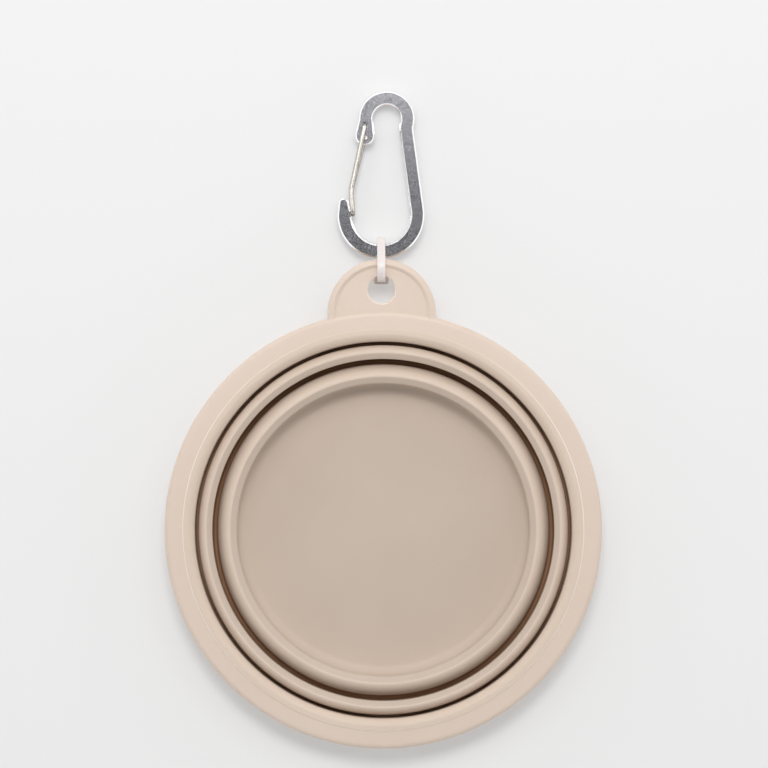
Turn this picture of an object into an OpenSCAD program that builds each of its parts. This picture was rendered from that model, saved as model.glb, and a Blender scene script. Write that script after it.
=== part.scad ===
// Folding travel bowl: a soft body with two folding webs in a hard rim, and a carabiner on a tie.
// The bowl is drawn folded flat. Its axis is +Z, its flat underside is at z = 0, and the tab points to +Y.

/* [Bowl] */
// Outer diameter of the rim
bowl_d = 127; // [100:1:180]
// Height of the bowl when it is pulled open
open_h = 50.8; // [45:0.1:60]
// Height of the bowl when it is folded flat
folded_h = 12.8; // [12.5:0.1:16]
// Thickness of the soft walls and webs
wall_t = 1.4; // [1:0.1:1.6]
// Thickness of the base
base_t = 2; // [1.5:0.1:3]
// Rounding of the lower edge of the base
base_edge_r = 1.6; // [0.8:0.1:2]
// Fillet between the base and the lower wall, inside
base_fillet_r = 1.5; // [0.8:0.1:3]
// Height of the folded valleys above the table
valley_lift = 0.4; // [0.2:0.1:1]

/* [Folds] */
// Gap between the upper wall and the upper web when folded
upper_gap = 0.7; // [0.4:0.1:1.5]
// Width of the upper folded ring
upper_ring_w = 4; // [3.6:0.1:5]
// Gap between the middle wall and the top of the lower web when folded
lower_gap = 2.6; // [1.6:0.1:4]
// Width of the round valley that the lower web leans out to
lower_valley_w = 1.5; // [0.6:0.1:1.6]
// Width of the lower folded ring
lower_ring_w = 4.6; // [3.6:0.1:6]
// Slit between a web and the wall that it leaves at its crest
web_slit = 0.1; // [0.05:0.05:0.2]

/* [Rim] */
// Width of the hard band outside the soft lip
band_w = 5.1; // [4:0.1:8]
// Thickness of the rim
rim_t = 3; // [2.6:0.1:4]
// Fall of the band from the lip to its outer edge
band_fall = 0.3; // [0:0.1:0.6]
// Rounding of the upper outer edge
rim_edge_r = 1.2; // [0.5:0.1:1.5]
// Rounding of the lower outer edge
rim_foot_r = 0.8; // [0.3:0.1:1]
// Width of the hidden flange that the soft lip grips
flange_w = 2; // [1:0.1:2.2]
// Thickness of that flange
flange_t = 1.1; // [0.8:0.1:1.2]
// Soft material above that flange
flange_cover = 1.1; // [0.8:0.1:1.2]
// Width of the flat top of the soft lip
lip_flat_w = 1.4; // [0.8:0.1:3]
// Radius with which the lip rolls down into the upper wall
lip_roll_r = 2.6; // [2:0.1:3]
// Fillet under the lip, outside
lip_fillet_r = 1; // [0.5:0.1:2]

/* [Tab] */
// Radius of the rounded end of the tab
tab_r = 15.7; // [12:0.1:20]
// Thickness of the plate of the tab
tab_t = 2.1; // [1.6:0.1:2.6]
// Height of the raised border of the tab
border_h = 2.8; // [2.2:0.1:2.9]
// Width of the raised border
border_w = 2.4; // [1.6:0.1:3]
// Diameter of the hole in the tab
hole_d = 7.8; // [6.5:0.1:10]
// Material between the hole and the end of the tab
hole_margin = 5; // [4:0.1:5.2]
// Gap between the rim and the hole
hole_gap = 2.4; // [1:0.1:10]
// Bevel on both mouths of the hole
hole_bevel = 0.4; // [0.2:0.1:0.6]

/* [Tie] */
// Width of the strap
strap_w = 2.4; // [1.8:0.1:3]
// Thickness of the strap
strap_t = 1.1; // [0.8:0.1:1.4]
// Bevel on the edges of the strap
strap_bevel = 0.25; // [0.1:0.05:0.35]
// Inner radius of both bends of the loop
loop_r = 3.1; // [2.9:0.1:3.6]
// Slope of the loop, which hangs from the tab down to the carabiner, in degrees
loop_slope = 55.2; // [45:0.1:60]
// Height of the lower bend above the table
loop_lift = 0.1; // [0.05:0.05:0.5]
// Size of the head across the strap
head_w = 4.6; // [3.5:0.1:5]
// Length of the head along the strap
head_l = 5.2; // [3:0.1:6]
// Height of the head, from the inside of the strap
head_h = 4.2; // [3:0.1:4.5]
// Bevel on the edges of the head
head_bevel = 0.5; // [0.2:0.1:0.8]

/* [Carabiner] */
// Width of the bar, seen from the front
bar_w = 4.06; // [3:0.02:4.4]
// Thickness of the bar
bar_t = 4; // [3:0.1:4.4]
// Bevel along the edges of the bar
bar_bevel = 0.5; // [0.2:0.1:0.8]
// Radius of the wide lower bend, at the middle of the bar
belly_r = 10.65; // [9:0.05:14]
// Lean of the straight back towards the gate, in degrees
back_lean = 7.2; // [0:0.1:10]
// Length of the straight back
back_l = 23.2; // [18:0.1:40]
// Radius of the waist at the top of the back
waist_r = 5.4; // [4:0.1:12]
// Turn of the waist, in degrees
waist_turn = 21.9; // [10:0.1:26]
// Radius of the narrow upper bend, at the middle of the bar
crown_r = 6.1; // [5.4:0.1:8]
// Height of the nose above the centre of the lower bend
nose_h = 5; // [4:0.1:7]
// Radius of the tip of the nose
nose_tip_r = 1.4; // [1:0.1:1.8]
// Shift of the tip of the nose away from the gate
nose_shift = 0.2; // [0:0.1:0.6]
// Radius of the rounded end that carries the gate
lobe_r = 2.83; // [2.5:0.01:3.5]
// Shift of that end away from the back
lobe_shift = 0.3; // [0:0.05:0.6]
// Drop of the upper pivot below the centre of the upper bend
pivot_drop = 1.9; // [1:0.1:3]
// Distance between the two pivots
pivot_gap = 3.35; // [2.6:0.05:3.6]

/* [Gate] */
// Diameter of the wire
wire_d = 1.35; // [1:0.05:1.6]
// Clearance round the turning peg
peg_clear = 0.05; // [0.02:0.01:0.1]
// Clearance between the wire and the faces and notch of the bar
gate_clear = 0.15; // [0.1:0.05:0.4]
// Depth of a peg in the bar
peg_l = 1.7; // [1:0.1:1.9]
// Radius of the bends between the legs and the cross bar
cross_bend_r = 1.2; // [1:0.1:1.6]
// Seat of the cross bar in the notch of the nose
notch_depth = 0.4; // [0.2:0.05:0.7]
// Height of the cross bar above the centre of the lower bend
cross_h = 0.3; // [0:0.05:1]
// Height of the kink of the legs above the cross bar
kink_h = 7.2; // [4:0.1:12]
// Shift of the kink away from the back
kink_shift = 0.4; // [0:0.05:1]
// Radius of the kink
kink_r = 4; // [2:0.5:8]
// Angle through which the gate opens, in degrees
gate_swing = 25; // [10:1:28]

/* [Hidden] */
$fn = 96;
// Steps of a drawn quarter bend
arc_steps = 10;
// Overrun of cuts
over = 1;
// Thickness of a thin slice across a bar, a strap or a wire
slice = 0.02;
// How much a collar at a seam is larger than its section
seam = 0.004;
// Place of the rounded gate end between the two pivots
lobe_share = 0.88;
hard_colour = "#E0CEBE";
soft_colour = "#D9C4B2";
tie_colour = "#EDEAE6";
bar_colour = "#B4B2B8";
wire_colour = "#C9C6C0";

// The rim
bowl_r = bowl_d / 2;
rim_z = folded_h - rim_t;
lip_r = bowl_r - band_w;
flange_top = folded_h - flange_cover;

// The folds, from the rim inward: each valley and crest is the centre of a round turn
fold_h = (open_h - folded_h) / 4;
crest_top = valley_lift + wall_t + fold_h;
upper_wall_r = lip_r - lip_flat_w - lip_roll_r;
upper_valley = [upper_wall_r - upper_gap / 2, valley_lift + wall_t + upper_gap / 2];
upper_crest = [upper_valley[0] - upper_gap / 2 - upper_ring_w / 2, crest_top - upper_ring_w / 2];
middle_wall_r = upper_crest[0] - upper_ring_w / 2;
lower_valley = [middle_wall_r - lower_valley_w / 2, valley_lift + wall_t + lower_valley_w / 2];
lower_crest = [middle_wall_r - lower_gap - lower_ring_w / 2, crest_top - lower_ring_w / 2];
base_r = lower_crest[0] - lower_ring_w / 2;

// The tab and the hole
tab_reach = bowl_r + hole_gap + hole_d + hole_margin;
tab_y = tab_reach - tab_r;
hole_y = tab_reach - hole_margin - hole_d / 2;

// The tie turns round the middle of the margin of the hole and holds the carabiner at the middle of its bar
grip_y = tab_reach - hole_margin / 2;
grip_z = rim_z + border_h / 2;
link_z = loop_r + strap_t + loop_lift;
loop_l = (grip_z - link_z) / sin(loop_slope);
link_y = grip_y + loop_l * cos(loop_slope);
strap_r = loop_r + strap_t / 2;

// The carabiner, with the centre of its lower bend as its own origin
back_end = belly_r * [cos(back_lean), sin(back_lean)] + back_l * [-sin(back_lean), cos(back_lean)];
waist_centre = back_end + waist_r * [cos(back_lean), sin(back_lean)];
crown_start = back_lean - waist_turn;
crown = waist_centre - (waist_r + crown_r) * [cos(crown_start), sin(crown_start)];
wire_r = wire_d / 2;
upper_pivot = crown - [crown_r + lobe_shift, pivot_drop];
lower_pivot = upper_pivot - [0, pivot_gap];
lobe = upper_pivot + lobe_share * (lower_pivot - upper_pivot);
notch_r = wire_r + gate_clear;
cross = [notch_r - notch_depth - belly_r + bar_w / 2, cross_h];
kink = cross + [-kink_shift, kink_h];
leg_z = bar_t / 2 + gate_clear + wire_r;
peg_bend_r = gate_clear + wire_r;
// The carabiner leans until the rear leg of its gate all but touches the table
rest_lean = asin((link_z - leg_z - wire_r - loop_lift) / (belly_r + lower_pivot[1] + wire_r));

// Points along an arc about centre c, from one angle to another
function arc(c, r, from, to) =
    [for (i = [0:arc_steps]) c + r * [cos(from + (to - from) * i / arc_steps),
                                      sin(from + (to - from) * i / arc_steps)]];

// Direction from one point to another, in degrees
function heading(from, to) = atan2(to[1] - from[1], to[0] - from[0]);

// Lean of a leg, which touches the round valley on one side and the round crest on the other.
// side is 1 where the leg lies outside the valley and -1 where it lies inside.
function leg_lean(valley, valley_w, crest, ring_w, side) =
    heading(valley, crest) + side * asin((valley_w + ring_w) / 2 / norm(crest - valley)) - 90;

// Outline of one leg of the folded wall, from the bottom of a valley to the top of a crest
function leg_outline(valley, valley_w, crest, ring_w, side) =
    let (lean = leg_lean(valley, valley_w, crest, ring_w, side),
         valley_end = 270 + side * 90 + lean,
         crest_end = 90 + side * 90 + lean)
    concat(
        arc(valley, valley_w / 2, 270, valley_end),
        arc(crest, ring_w / 2, crest_end, 90),
        arc(crest, ring_w / 2 - wall_t, 90, crest_end),
        arc(valley, valley_w / 2 + wall_t, valley_end, 270));

// Soft body: sections that turn about the axis of the bowl

module upper_wall() {
    color(soft_colour) rotate_extrude()
        polygon(concat(
            arc(upper_valley, upper_gap / 2, 270, 360),
            arc([upper_wall_r + lip_roll_r, folded_h - lip_roll_r], lip_roll_r, 180, 90),
            [[lip_r, folded_h],
             [lip_r, flange_top],
             [lip_r - flange_w, flange_top],
             [lip_r - flange_w, flange_top - flange_t],
             [lip_r, flange_top - flange_t],
             [lip_r, rim_z]],
            arc([upper_wall_r + wall_t + lip_fillet_r, rim_z - lip_fillet_r], lip_fillet_r, 90, 180),
            arc(upper_valley, upper_gap / 2 + wall_t, 360, 270)));
}

// A folding web stops just short of the crest of the next wall
module web(valley, valley_w, crest, ring_w) {
    color(soft_colour) rotate_extrude()
        difference() {
            polygon(leg_outline(valley, valley_w, crest, ring_w, -1));
            translate([crest[0] - web_slit, crest[1]])
                square([2 * web_slit, ring_w]);
        }
}

module upper_fold() {
    web(upper_valley, upper_gap, upper_crest, upper_ring_w);
}

module middle_wall() {
    color(soft_colour) rotate_extrude()
        polygon(leg_outline(lower_valley, lower_valley_w, upper_crest, upper_ring_w, 1));
}

module lower_fold() {
    web(lower_valley, lower_valley_w, lower_crest, lower_ring_w);
}

module base_cup() {
    color(soft_colour) rotate_extrude()
        polygon(concat(
            [[0, 0]],
            arc([base_r + wall_t - base_edge_r, base_edge_r], base_edge_r, 270, 360),
            arc(lower_crest, lower_ring_w / 2 - wall_t, 180, 90),
            arc(lower_crest, lower_ring_w / 2, 90, 180),
            arc([base_r - base_fillet_r, base_t + base_fillet_r], base_fillet_r, 360, 270),
            [[0, base_t]]));
}

// Hard rim with its tab

module rim_ring() {
    rotate_extrude()
        polygon(concat(
            [[lip_r, folded_h]],
            arc([bowl_r - rim_edge_r, folded_h - band_fall - rim_edge_r], rim_edge_r, 90, 0),
            arc([bowl_r - rim_foot_r, rim_z + rim_foot_r], rim_foot_r, 360, 270),
            [[lip_r, rim_z],
             [lip_r, flange_top - flange_t],
             [lip_r - flange_w, flange_top - flange_t],
             [lip_r - flange_w, flange_top],
             [lip_r, flange_top]]));
}

// Section of the raised border, at its distance from the centre of the tab
module border_section() {
    polygon(concat(
        [[tab_r - border_w, 0]],
        arc([tab_r - border_w / 2, border_h - border_w / 2], border_w / 2, 180, 0),
        [[tab_r, 0]]));
}

module tab_border() {
    rotate_extrude(angle = 180) border_section();
    for (side = [0, 1])
        mirror([side, 0, 0])
            rotate([90, 0, 0]) linear_extrude(height = tab_r) border_section();
}

module tab_plate() {
    linear_extrude(height = tab_t) {
        circle(r = tab_r - border_w / 2);
        translate([-tab_r + border_w / 2, -tab_r])
            square([2 * tab_r - border_w, tab_r]);
    }
}

module tab_hole() {
    translate([0, hole_y, rim_z - over]) cylinder(d = hole_d, h = tab_t + 2 * over);
    for (mouth = [[rim_z, 1], [rim_z + tab_t, -1]])
        translate([0, hole_y, mouth[0]]) mirror([0, 0, (1 - mouth[1]) / 2])
            translate([0, 0, -hole_bevel])
                cylinder(d1 = hole_d + 4 * hole_bevel, d2 = hole_d, h = 2 * hole_bevel);
}

module rim_frame() {
    color(hard_colour) {
        rim_ring();
        difference() {
            translate([0, tab_y, rim_z]) {
                tab_plate();
                tab_border();
            }
            translate([0, 0, rim_z - over])
                cylinder(r = bowl_r - rim_edge_r, h = rim_t + 2 * over);
            tab_hole();
        }
    }
}

// Bars, wires and straps are laid along a path: each step starts at the origin, heads along +X and hands
// its end to the next step. A turn to the left has a positive angle.

module bevelled(w, h, bevel) {
    polygon([[bevel - w / 2, -h / 2], [w / 2 - bevel, -h / 2], [w / 2, bevel - h / 2], [w / 2, h / 2 - bevel],
             [w / 2 - bevel, h / 2], [bevel - w / 2, h / 2], [-w / 2, h / 2 - bevel], [-w / 2, bevel - h / 2]]);
}

module section(kind, grow = 0) {
    if (kind == "bar") bevelled(bar_w + grow, bar_t + grow, bar_bevel);
    if (kind == "strap") bevelled(strap_t + grow, strap_w + grow, strap_bevel);
    if (kind == "wire") circle(d = wire_d + grow);
}

module slab(kind, from, length, grow = 0) {
    rotate([90, 0, 90]) translate([0, 0, from]) linear_extrude(height = length) section(kind, grow);
}

module run(kind, length) {
    slab(kind, 0, length);
    translate([length, 0, 0]) children();
}

// A hair-thin collar at each end of a turn fuses it to its neighbours
module turn(kind, r, angle) {
    side = sign(angle);
    slab(kind, -slice / 2, slice, seam);
    mirror([0, (1 - side) / 2, 0]) translate([0, r, 0]) rotate([0, 0, -90])
        rotate_extrude(angle = abs(angle)) translate([r, 0]) section(kind);
    translate([0, side * r, 0]) rotate([0, 0, angle]) translate([0, -side * r, 0]) {
        slab(kind, -slice / 2, slice, seam);
        children();
    }
}

// Nylon tie

module tie_head() {
    rotate([0, 90, 0]) translate([0, 0, -head_w / 2])
        linear_extrude(height = head_w)
            translate([0, head_h / 2]) bevelled(head_l, head_h, head_bevel);
}

// Turns the loop into the plane of the bowl's axis, heading from the tab to the carabiner
module along_loop() {
    translate([0, grip_y, grip_z]) rotate([-loop_slope, 0, 0]) rotate([90, 0, 90]) children();
}

module cable_tie() {
    color(tie_colour) along_loop() {
        translate([0, -strap_r, 0])
            run("strap", loop_l) turn("strap", strap_r, 180)
            run("strap", loop_l) turn("strap", strap_r, 180);
        translate([loop_l / 2, -loop_r, 0])
            rotate([180, 90, 0]) tie_head();
    }
}

// Carabiner

module bevelled_disc(r) {
    translate([0, 0, bar_bevel - bar_t / 2]) cylinder(r = r, h = bar_t - 2 * bar_bevel, $fn = 32);
    for (side = [0, 1])
        mirror([0, 0, side]) translate([0, 0, bar_t / 2 - bar_bevel])
            cylinder(r1 = r, r2 = r - bar_bevel, h = bar_bevel, $fn = 32);
}

// An end of the bar that runs on to a rounded tip
module bar_end(from, tip, r) {
    hull() {
        translate([from[0], from[1], 0]) rotate([0, 0, sign(tip[1] - from[1]) * 90])
            slab("bar", 0, slice);
        translate([tip[0], tip[1], 0]) bevelled_disc(r);
    }
}

module pivot_holes() {
    translate([upper_pivot[0], upper_pivot[1], -bar_t])
        cylinder(r = wire_r + peg_clear, h = 2 * bar_t);
    translate([lower_pivot[0], lower_pivot[1], -slice])
        cylinder(r = notch_r, h = bar_t);
    translate([upper_pivot[0], upper_pivot[1], -bar_t]) {
        rotate([0, 0, -90]) rotate_extrude(angle = gate_swing)
            translate([pivot_gap - notch_r, 0]) square([2 * notch_r, bar_t]);
        for (angle = [0, gate_swing])
            rotate([0, 0, angle]) translate([0, -pivot_gap, 0]) cylinder(r = notch_r, h = bar_t);
    }
}

// Puts the carabiner where it lies, from its own origin at the centre of its lower bend
module at_link() {
    translate([0, link_y, link_z]) rotate([-rest_lean, 0, 0]) translate([0, belly_r, 0]) children();
}

module carabiner_frame() {
    color(bar_colour) at_link()
        difference() {
            union() {
                translate([-belly_r, 0, 0]) rotate([0, 0, -90])
                    turn("bar", belly_r, 180 + back_lean) run("bar", back_l)
                    turn("bar", waist_r, -waist_turn) turn("bar", crown_r, 180 - crown_start);
                bar_end([-belly_r, 0], [-belly_r - nose_shift, nose_h - nose_tip_r], nose_tip_r);
                bar_end([crown[0] - crown_r, crown[1]], lobe, lobe_r);
            }
            translate([cross[0], cross[1], -bar_t]) cylinder(r = notch_r, h = 2 * bar_t);
            pivot_holes();
        }
}

// Wire gate

// One side of the gate, from the middle of the cross bar up a leg to the peg in its pivot
module gate_side(pivot) {
    low = heading(cross, kink);
    high = heading(kink, pivot);
    cut = kink_r * tan((low - high) / 2);
    translate([cross[0], cross[1], 0]) rotate([0, 0, low]) rotate([-90, -90, 0])
        run("wire", leg_z - cross_bend_r) turn("wire", cross_bend_r, 90) rotate([90, 0, 0])
        run("wire", norm(kink - cross) - cross_bend_r - cut) turn("wire", kink_r, high - low)
        run("wire", norm(pivot - kink) - cut - peg_bend_r) rotate([-90, 0, 0])
        turn("wire", peg_bend_r, 90) run("wire", peg_l);
}

module wire_gate() {
    color(wire_colour) at_link() {
        gate_side(upper_pivot);
        mirror([0, 0, 1]) gate_side(lower_pivot);
    }
}

rim_frame();
upper_wall();
upper_fold();
middle_wall();
lower_fold();
base_cup();
cable_tie();
carabiner_frame();
wire_gate();
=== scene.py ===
"""A travel bowl that folds flat, with the tie and the carabiner that it hangs from.

The bowl lies folded on a pale floor. Sizes are in millimetres until a mesh is made. The section of
a turned piece is a list of points (radius, height), the outline of a flat piece one of (x, y).
"""

import logging
import math
from collections.abc import Sequence
from dataclasses import dataclass
from enum import Enum
from functools import cached_property

import bmesh
import bpy
import numpy as np
from mathutils import Matrix, Vector
from mathutils.geometry import delaunay_2d_cdt


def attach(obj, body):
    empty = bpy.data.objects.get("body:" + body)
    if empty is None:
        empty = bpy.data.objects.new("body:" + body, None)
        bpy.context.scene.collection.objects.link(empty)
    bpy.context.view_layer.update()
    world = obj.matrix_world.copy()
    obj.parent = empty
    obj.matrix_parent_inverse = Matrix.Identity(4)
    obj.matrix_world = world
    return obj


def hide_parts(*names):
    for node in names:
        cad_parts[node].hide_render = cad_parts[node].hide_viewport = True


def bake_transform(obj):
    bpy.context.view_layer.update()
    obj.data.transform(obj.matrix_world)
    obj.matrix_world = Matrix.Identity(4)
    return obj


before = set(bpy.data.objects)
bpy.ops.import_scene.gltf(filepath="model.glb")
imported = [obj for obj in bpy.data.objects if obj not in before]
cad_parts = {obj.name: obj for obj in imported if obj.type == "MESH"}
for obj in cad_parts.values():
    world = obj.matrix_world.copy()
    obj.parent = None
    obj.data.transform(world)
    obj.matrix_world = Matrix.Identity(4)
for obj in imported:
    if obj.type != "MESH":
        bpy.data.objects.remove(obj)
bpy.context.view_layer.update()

MM = 0.001
SAME_SPOT = 1e-4
LOG = logging.getLogger("bowl")

Point = tuple[float, float]
Triple = tuple[float, float, float]
Outline = list[Point]
Edge = tuple[int, int]
Face = Sequence[int]
Mesh = bpy.types.Mesh
Material = bpy.types.Material
Node = bpy.types.Node
Socket = bpy.types.NodeSocket
Tree = bpy.types.NodeTree


class Slot(Enum):
    """The record's material slots."""

    RIM = "hard_rim"
    SILICONE = "silicone"
    NYLON = "nylon"
    ALLOY = "alloy"
    STEEL = "steel_wire"


class Body(Enum):
    """The bodies that the pieces ride on."""

    BASE = "base"
    MIDDLE = "middle_tier"
    RIM = "rim_tier"
    TIE = "tie"
    CARABINER = "carabiner"
    GATE = "gate"


class Joining(Enum):
    """Ways to combine two closed meshes."""

    UNION = "UNION"
    DIFFERENCE = "DIFFERENCE"


class Course(Enum):
    """Ways in which a mapped value runs from end to end."""

    EVEN = "LINEAR"
    SMOOTH = "SMOOTHSTEP"


# Plane geometry


def arc(centre: Point, radius: float, start: float, end: float, steps: int = 16) -> Outline:
    """Gives points along an arc, from its first angle to its last, both in degrees."""
    turns = [math.radians(start + (end - start) * i / steps) for i in range(steps + 1)]
    return [(centre[0] + radius * math.cos(a), centre[1] + radius * math.sin(a)) for a in turns]


def soften(corners: list[Triple], closed: bool = False, steps: int = 5) -> Outline:
    """Rounds the corners of a polygon or an open line.

    Args:
        corners: Corners as (x, y, radius).
        closed: Whether the last corner joins the first.
        steps: Chords in each rounded corner.

    Returns:
        The points of the rounded line.
    """
    points: Outline = []
    count = len(corners)
    for i, (x, y, radius) in enumerate(corners):
        here = Vector((x, y))
        if radius <= 0 or (not closed and i in (0, count - 1)):
            points.append((x, y))
            continue
        before = (Vector(corners[i - 1][:2]) - here).normalized()
        after = (Vector(corners[(i + 1) % count][:2]) - here).normalized()
        half = before.angle(after) / 2
        middle = here + (before + after).normalized() * (radius / math.sin(half))
        start = here + before * (radius / math.tan(half)) - middle
        end = here + after * (radius / math.tan(half)) - middle
        turn = start.angle_signed(end)
        points += [tuple(middle + Matrix.Rotation(-turn * step / steps, 2) @ start)
                   for step in range(steps + 1)]
    return points


def rectangle(low: Point, high: Point, radius: float, steps: int) -> Outline:
    """Gives a rectangle with round corners, counter-clockwise from its lower left."""
    corners = [low, (high[0], low[1]), high, (low[0], high[1])]
    return soften([(*corner, radius) for corner in corners], closed=True, steps=steps)


def refine(points: Outline, longest: float, closed: bool = False) -> Outline:
    """Splits long chords and drops repeated points.

    Args:
        points: The line.
        longest: Greatest length of a chord.
        closed: Whether the last point joins the first.

    Returns:
        The finer line.
    """
    fine: Outline = []
    for start, end in zip(points, points[1:] + points[:1] if closed else points[1:]):
        length = math.dist(start, end)
        pieces = math.ceil(length / longest) if length > SAME_SPOT else 0
        run = (end[0] - start[0], end[1] - start[1])
        fine += [(start[0] + run[0] * i / pieces, start[1] + run[1] * i / pieces)
                 for i in range(pieces)]
    return fine if closed else fine + [points[-1]]


def inset(points: Outline, depth: float) -> Outline:
    """Moves each point of an outline inward, square to its sides.

    Args:
        points: The outline, counter-clockwise.
        depth: How far its sides move. Below zero, they move outward.

    Returns:
        The moved outline.
    """
    moved: Outline = []
    for i, here in enumerate(points):
        before = (Vector(here) - Vector(points[i - 1])).normalized()
        after = (Vector(points[(i + 1) % len(points)]) - Vector(here)).normalized()
        inward = Vector((-before.y, before.x)) + Vector((-after.y, after.x))
        moved.append(tuple(Vector(here) + inward * (depth / (1 + before.dot(after)))))
    return moved


def is_inside(spot: Point, outline: Outline) -> bool:
    """Tells whether a spot lies inside an outline.

    Args:
        spot: The spot.
        outline: The outline.

    Returns:
        Whether a line from the spot to the right crosses the outline an odd number of times.
    """
    inside = False
    x, y = spot
    for (ax, ay), (bx, by) in zip(outline, outline[1:] + outline[:1]):
        if (ay > y) != (by > y) and x < ax + (bx - ax) * (y - ay) / (by - ay):
            inside = not inside
    return inside


def heading(start: Point, end: Point) -> float:
    """Gives the direction from one point to another, in degrees."""
    return math.degrees(math.atan2(end[1] - start[1], end[0] - start[0]))


def chain(count: int, closed: bool = True, first: int = 0) -> list[Edge]:
    """Gives the edges that join points in a row, as pairs of point numbers."""
    return [(first + i, first + (i + 1) % count) for i in range(count if closed else count - 1)]


# Meshes


def add_object(name: str, mesh: Mesh) -> bpy.types.Object:
    """Puts a mesh into the scene.

    Args:
        name: Name of the object.
        mesh: The mesh.

    Returns:
        The object.
    """
    piece = bpy.data.objects.new(name, mesh)
    bpy.context.scene.collection.objects.link(piece)
    return piece


def mesh_of(name: str, points: list[Triple], faces: list[Face], edges: list[Edge] | None = None) -> Mesh:
    """Makes a mesh.

    Args:
        name: Name of the mesh.
        points: Its points, in millimetres.
        faces: Its faces, as rows of point numbers.
        edges: Its loose edges, as pairs of point numbers.

    Returns:
        The mesh, in metres.
    """
    mesh = bpy.data.meshes.new(name)
    mesh.from_pydata([[c * MM for c in p] for p in points], edges or [], faces)
    mesh.update()
    return mesh


def clean(mesh: Mesh, sharp_angle: float = 32.0, merge: float = 1e-7) -> None:
    """Closes seams, turns faces outward and shades the mesh smooth up to an angle.

    Args:
        mesh: The mesh to change.
        sharp_angle: Angle between faces, in degrees, from which their edge is sharp.
        merge: Distance within which points become one, in metres.
    """
    work = bmesh.new()
    work.from_mesh(mesh)
    bmesh.ops.remove_doubles(work, verts=work.verts, dist=merge)
    bmesh.ops.dissolve_degenerate(work, dist=merge / 2, edges=work.edges)
    bmesh.ops.recalc_face_normals(work, faces=work.faces)
    limit = math.radians(sharp_angle)
    for face in work.faces:
        face.smooth = True
    for edge in work.edges:
        edge.smooth = len(edge.link_faces) == 2 and edge.calc_face_angle(0.0) < limit
    work.to_mesh(mesh)
    work.free()
    mesh.update()


def evaluated(helper: bpy.types.Object, name: str) -> Mesh:
    """Takes the mesh that a helper's modifiers make, and removes the helper.

    Args:
        helper: The object with the modifiers.
        name: Name of the new mesh.

    Returns:
        The mesh, as plain data.
    """
    bpy.context.view_layer.update()
    graph = bpy.context.evaluated_depsgraph_get()
    result = bpy.data.meshes.new_from_object(helper.evaluated_get(graph), depsgraph=graph)
    discard(helper)
    result.name = name
    return result


def discard(helper: bpy.types.Object) -> None:
    """Removes a helper object and its mesh.

    Args:
        helper: The object.
    """
    mesh = helper.data
    bpy.data.objects.remove(helper)
    bpy.data.meshes.remove(mesh)


def combined(name: str, first: Mesh, second: Mesh, joining: Joining) -> Mesh:
    """Joins two closed meshes, or cuts one with the other.

    Args:
        name: Name of the new mesh.
        first: The mesh that is changed.
        second: The mesh that is joined or cuts.
        joining: How they are combined.

    Returns:
        The new mesh.
    """
    base = add_object(name, first)
    tool = add_object(name + "_tool", second)
    modifier = base.modifiers.new("combine", "BOOLEAN")
    modifier.operation = joining.value
    modifier.solver = "EXACT"
    modifier.object = tool
    result = evaluated(base, name)
    discard(tool)
    return result


def keep_facing(mesh: Mesh) -> None:
    """Keeps how far each point faces up and towards the bowl's axis, for a material to read.

    Args:
        mesh: The mesh, which gets an attribute for each of the two.
    """
    upward = [v.normal.z for v in mesh.vertices]
    inward = [-v.normal.xy.dot(v.co.xy.normalized()) for v in mesh.vertices]
    for name, values in (("upward", upward), ("inward", inward)):
        mesh.attributes.new(name, "FLOAT", "POINT").data.foreach_set("value", values)


def joined(name: str, meshes: list[Mesh]) -> Mesh:
    """Puts several meshes into one.

    Args:
        name: Name of the new mesh.
        meshes: The meshes.

    Returns:
        The new mesh.
    """
    work = bmesh.new()
    for mesh in meshes:
        work.from_mesh(mesh)
    result = bpy.data.meshes.new(name)
    work.to_mesh(result)
    work.free()
    return result


@dataclass
class Hole:
    """A hole through a flat piece.

    Attributes:
        outline: Its outline, counter-clockwise.
        edge: Its wall, from the lower face to the upper, as (growth, height).
    """

    outline: Outline
    edge: Outline


@dataclass
class Slab:
    """A flat piece with a shaped edge all round.

    Attributes:
        outline: Its outline, counter-clockwise.
        edge: The section of its edge, from the lower face to the upper, as (inset, height).
        holes: The holes through it.
    """

    outline: Outline
    edge: Outline
    holes: tuple[Hole, ...] = ()

    def mesh(self, name: str) -> Mesh:
        """Builds the piece.

        Args:
            name: Name of the mesh.

        Returns:
            The closed mesh.
        """
        points: list[Triple] = []
        faces: list[Face] = []
        lower: list[range] = []
        upper: list[range] = []
        walls = [(self.outline, self.edge, 1)] + [(h.outline, h.edge, -1) for h in self.holes]
        for outline, edge, side in walls:
            size, first = len(outline), len(points)
            for depth, height in edge:
                points += [(x, y, height) for x, y in inset(outline, side * depth)]
            for row in range(len(edge) - 1):
                for a, b in chain(size, first=first + row * size):
                    c, d = a + size, b + size
                    faces.append((a, b, d, c) if side > 0 else (a, c, d, b))
            lower.append(range(first, first + size))
            upper.append(range(len(points) - size, len(points)))
        faces += [face[::-1] for face in self.cap(points, lower)] + self.cap(points, upper)
        mesh = mesh_of(name, points, faces)
        clean(mesh)
        return mesh

    @staticmethod
    def cap(points: list[Triple], rings: list[range]) -> list[Face]:
        """Fills one face.

        Args:
            points: The points of the piece.
            rings: Numbers of the points round the face, and round each hole in it.

        Returns:
            The triangles between the rings.
        """
        order = [i for ring in rings for i in ring]
        edges: list[Edge] = []
        for ring in rings:
            edges += chain(len(ring), first=len(edges))
        flat = [Vector(points[i][:2]) for i in order]
        _, _, triangles, origins, _, _ = delaunay_2d_cdt(flat, edges, [], 1, 1e-6)
        gaps = [[points[i][:2] for i in ring] for ring in rings[1:]]
        filled: list[Face] = []
        for triangle in triangles:
            corners = [order[origins[v][0]] for v in triangle]
            middle = tuple(sum(points[i][axis] for i in corners) / 3 for axis in (0, 1))
            if not any(is_inside(middle, gap) for gap in gaps):
                filled.append(corners)
        return filled


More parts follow.
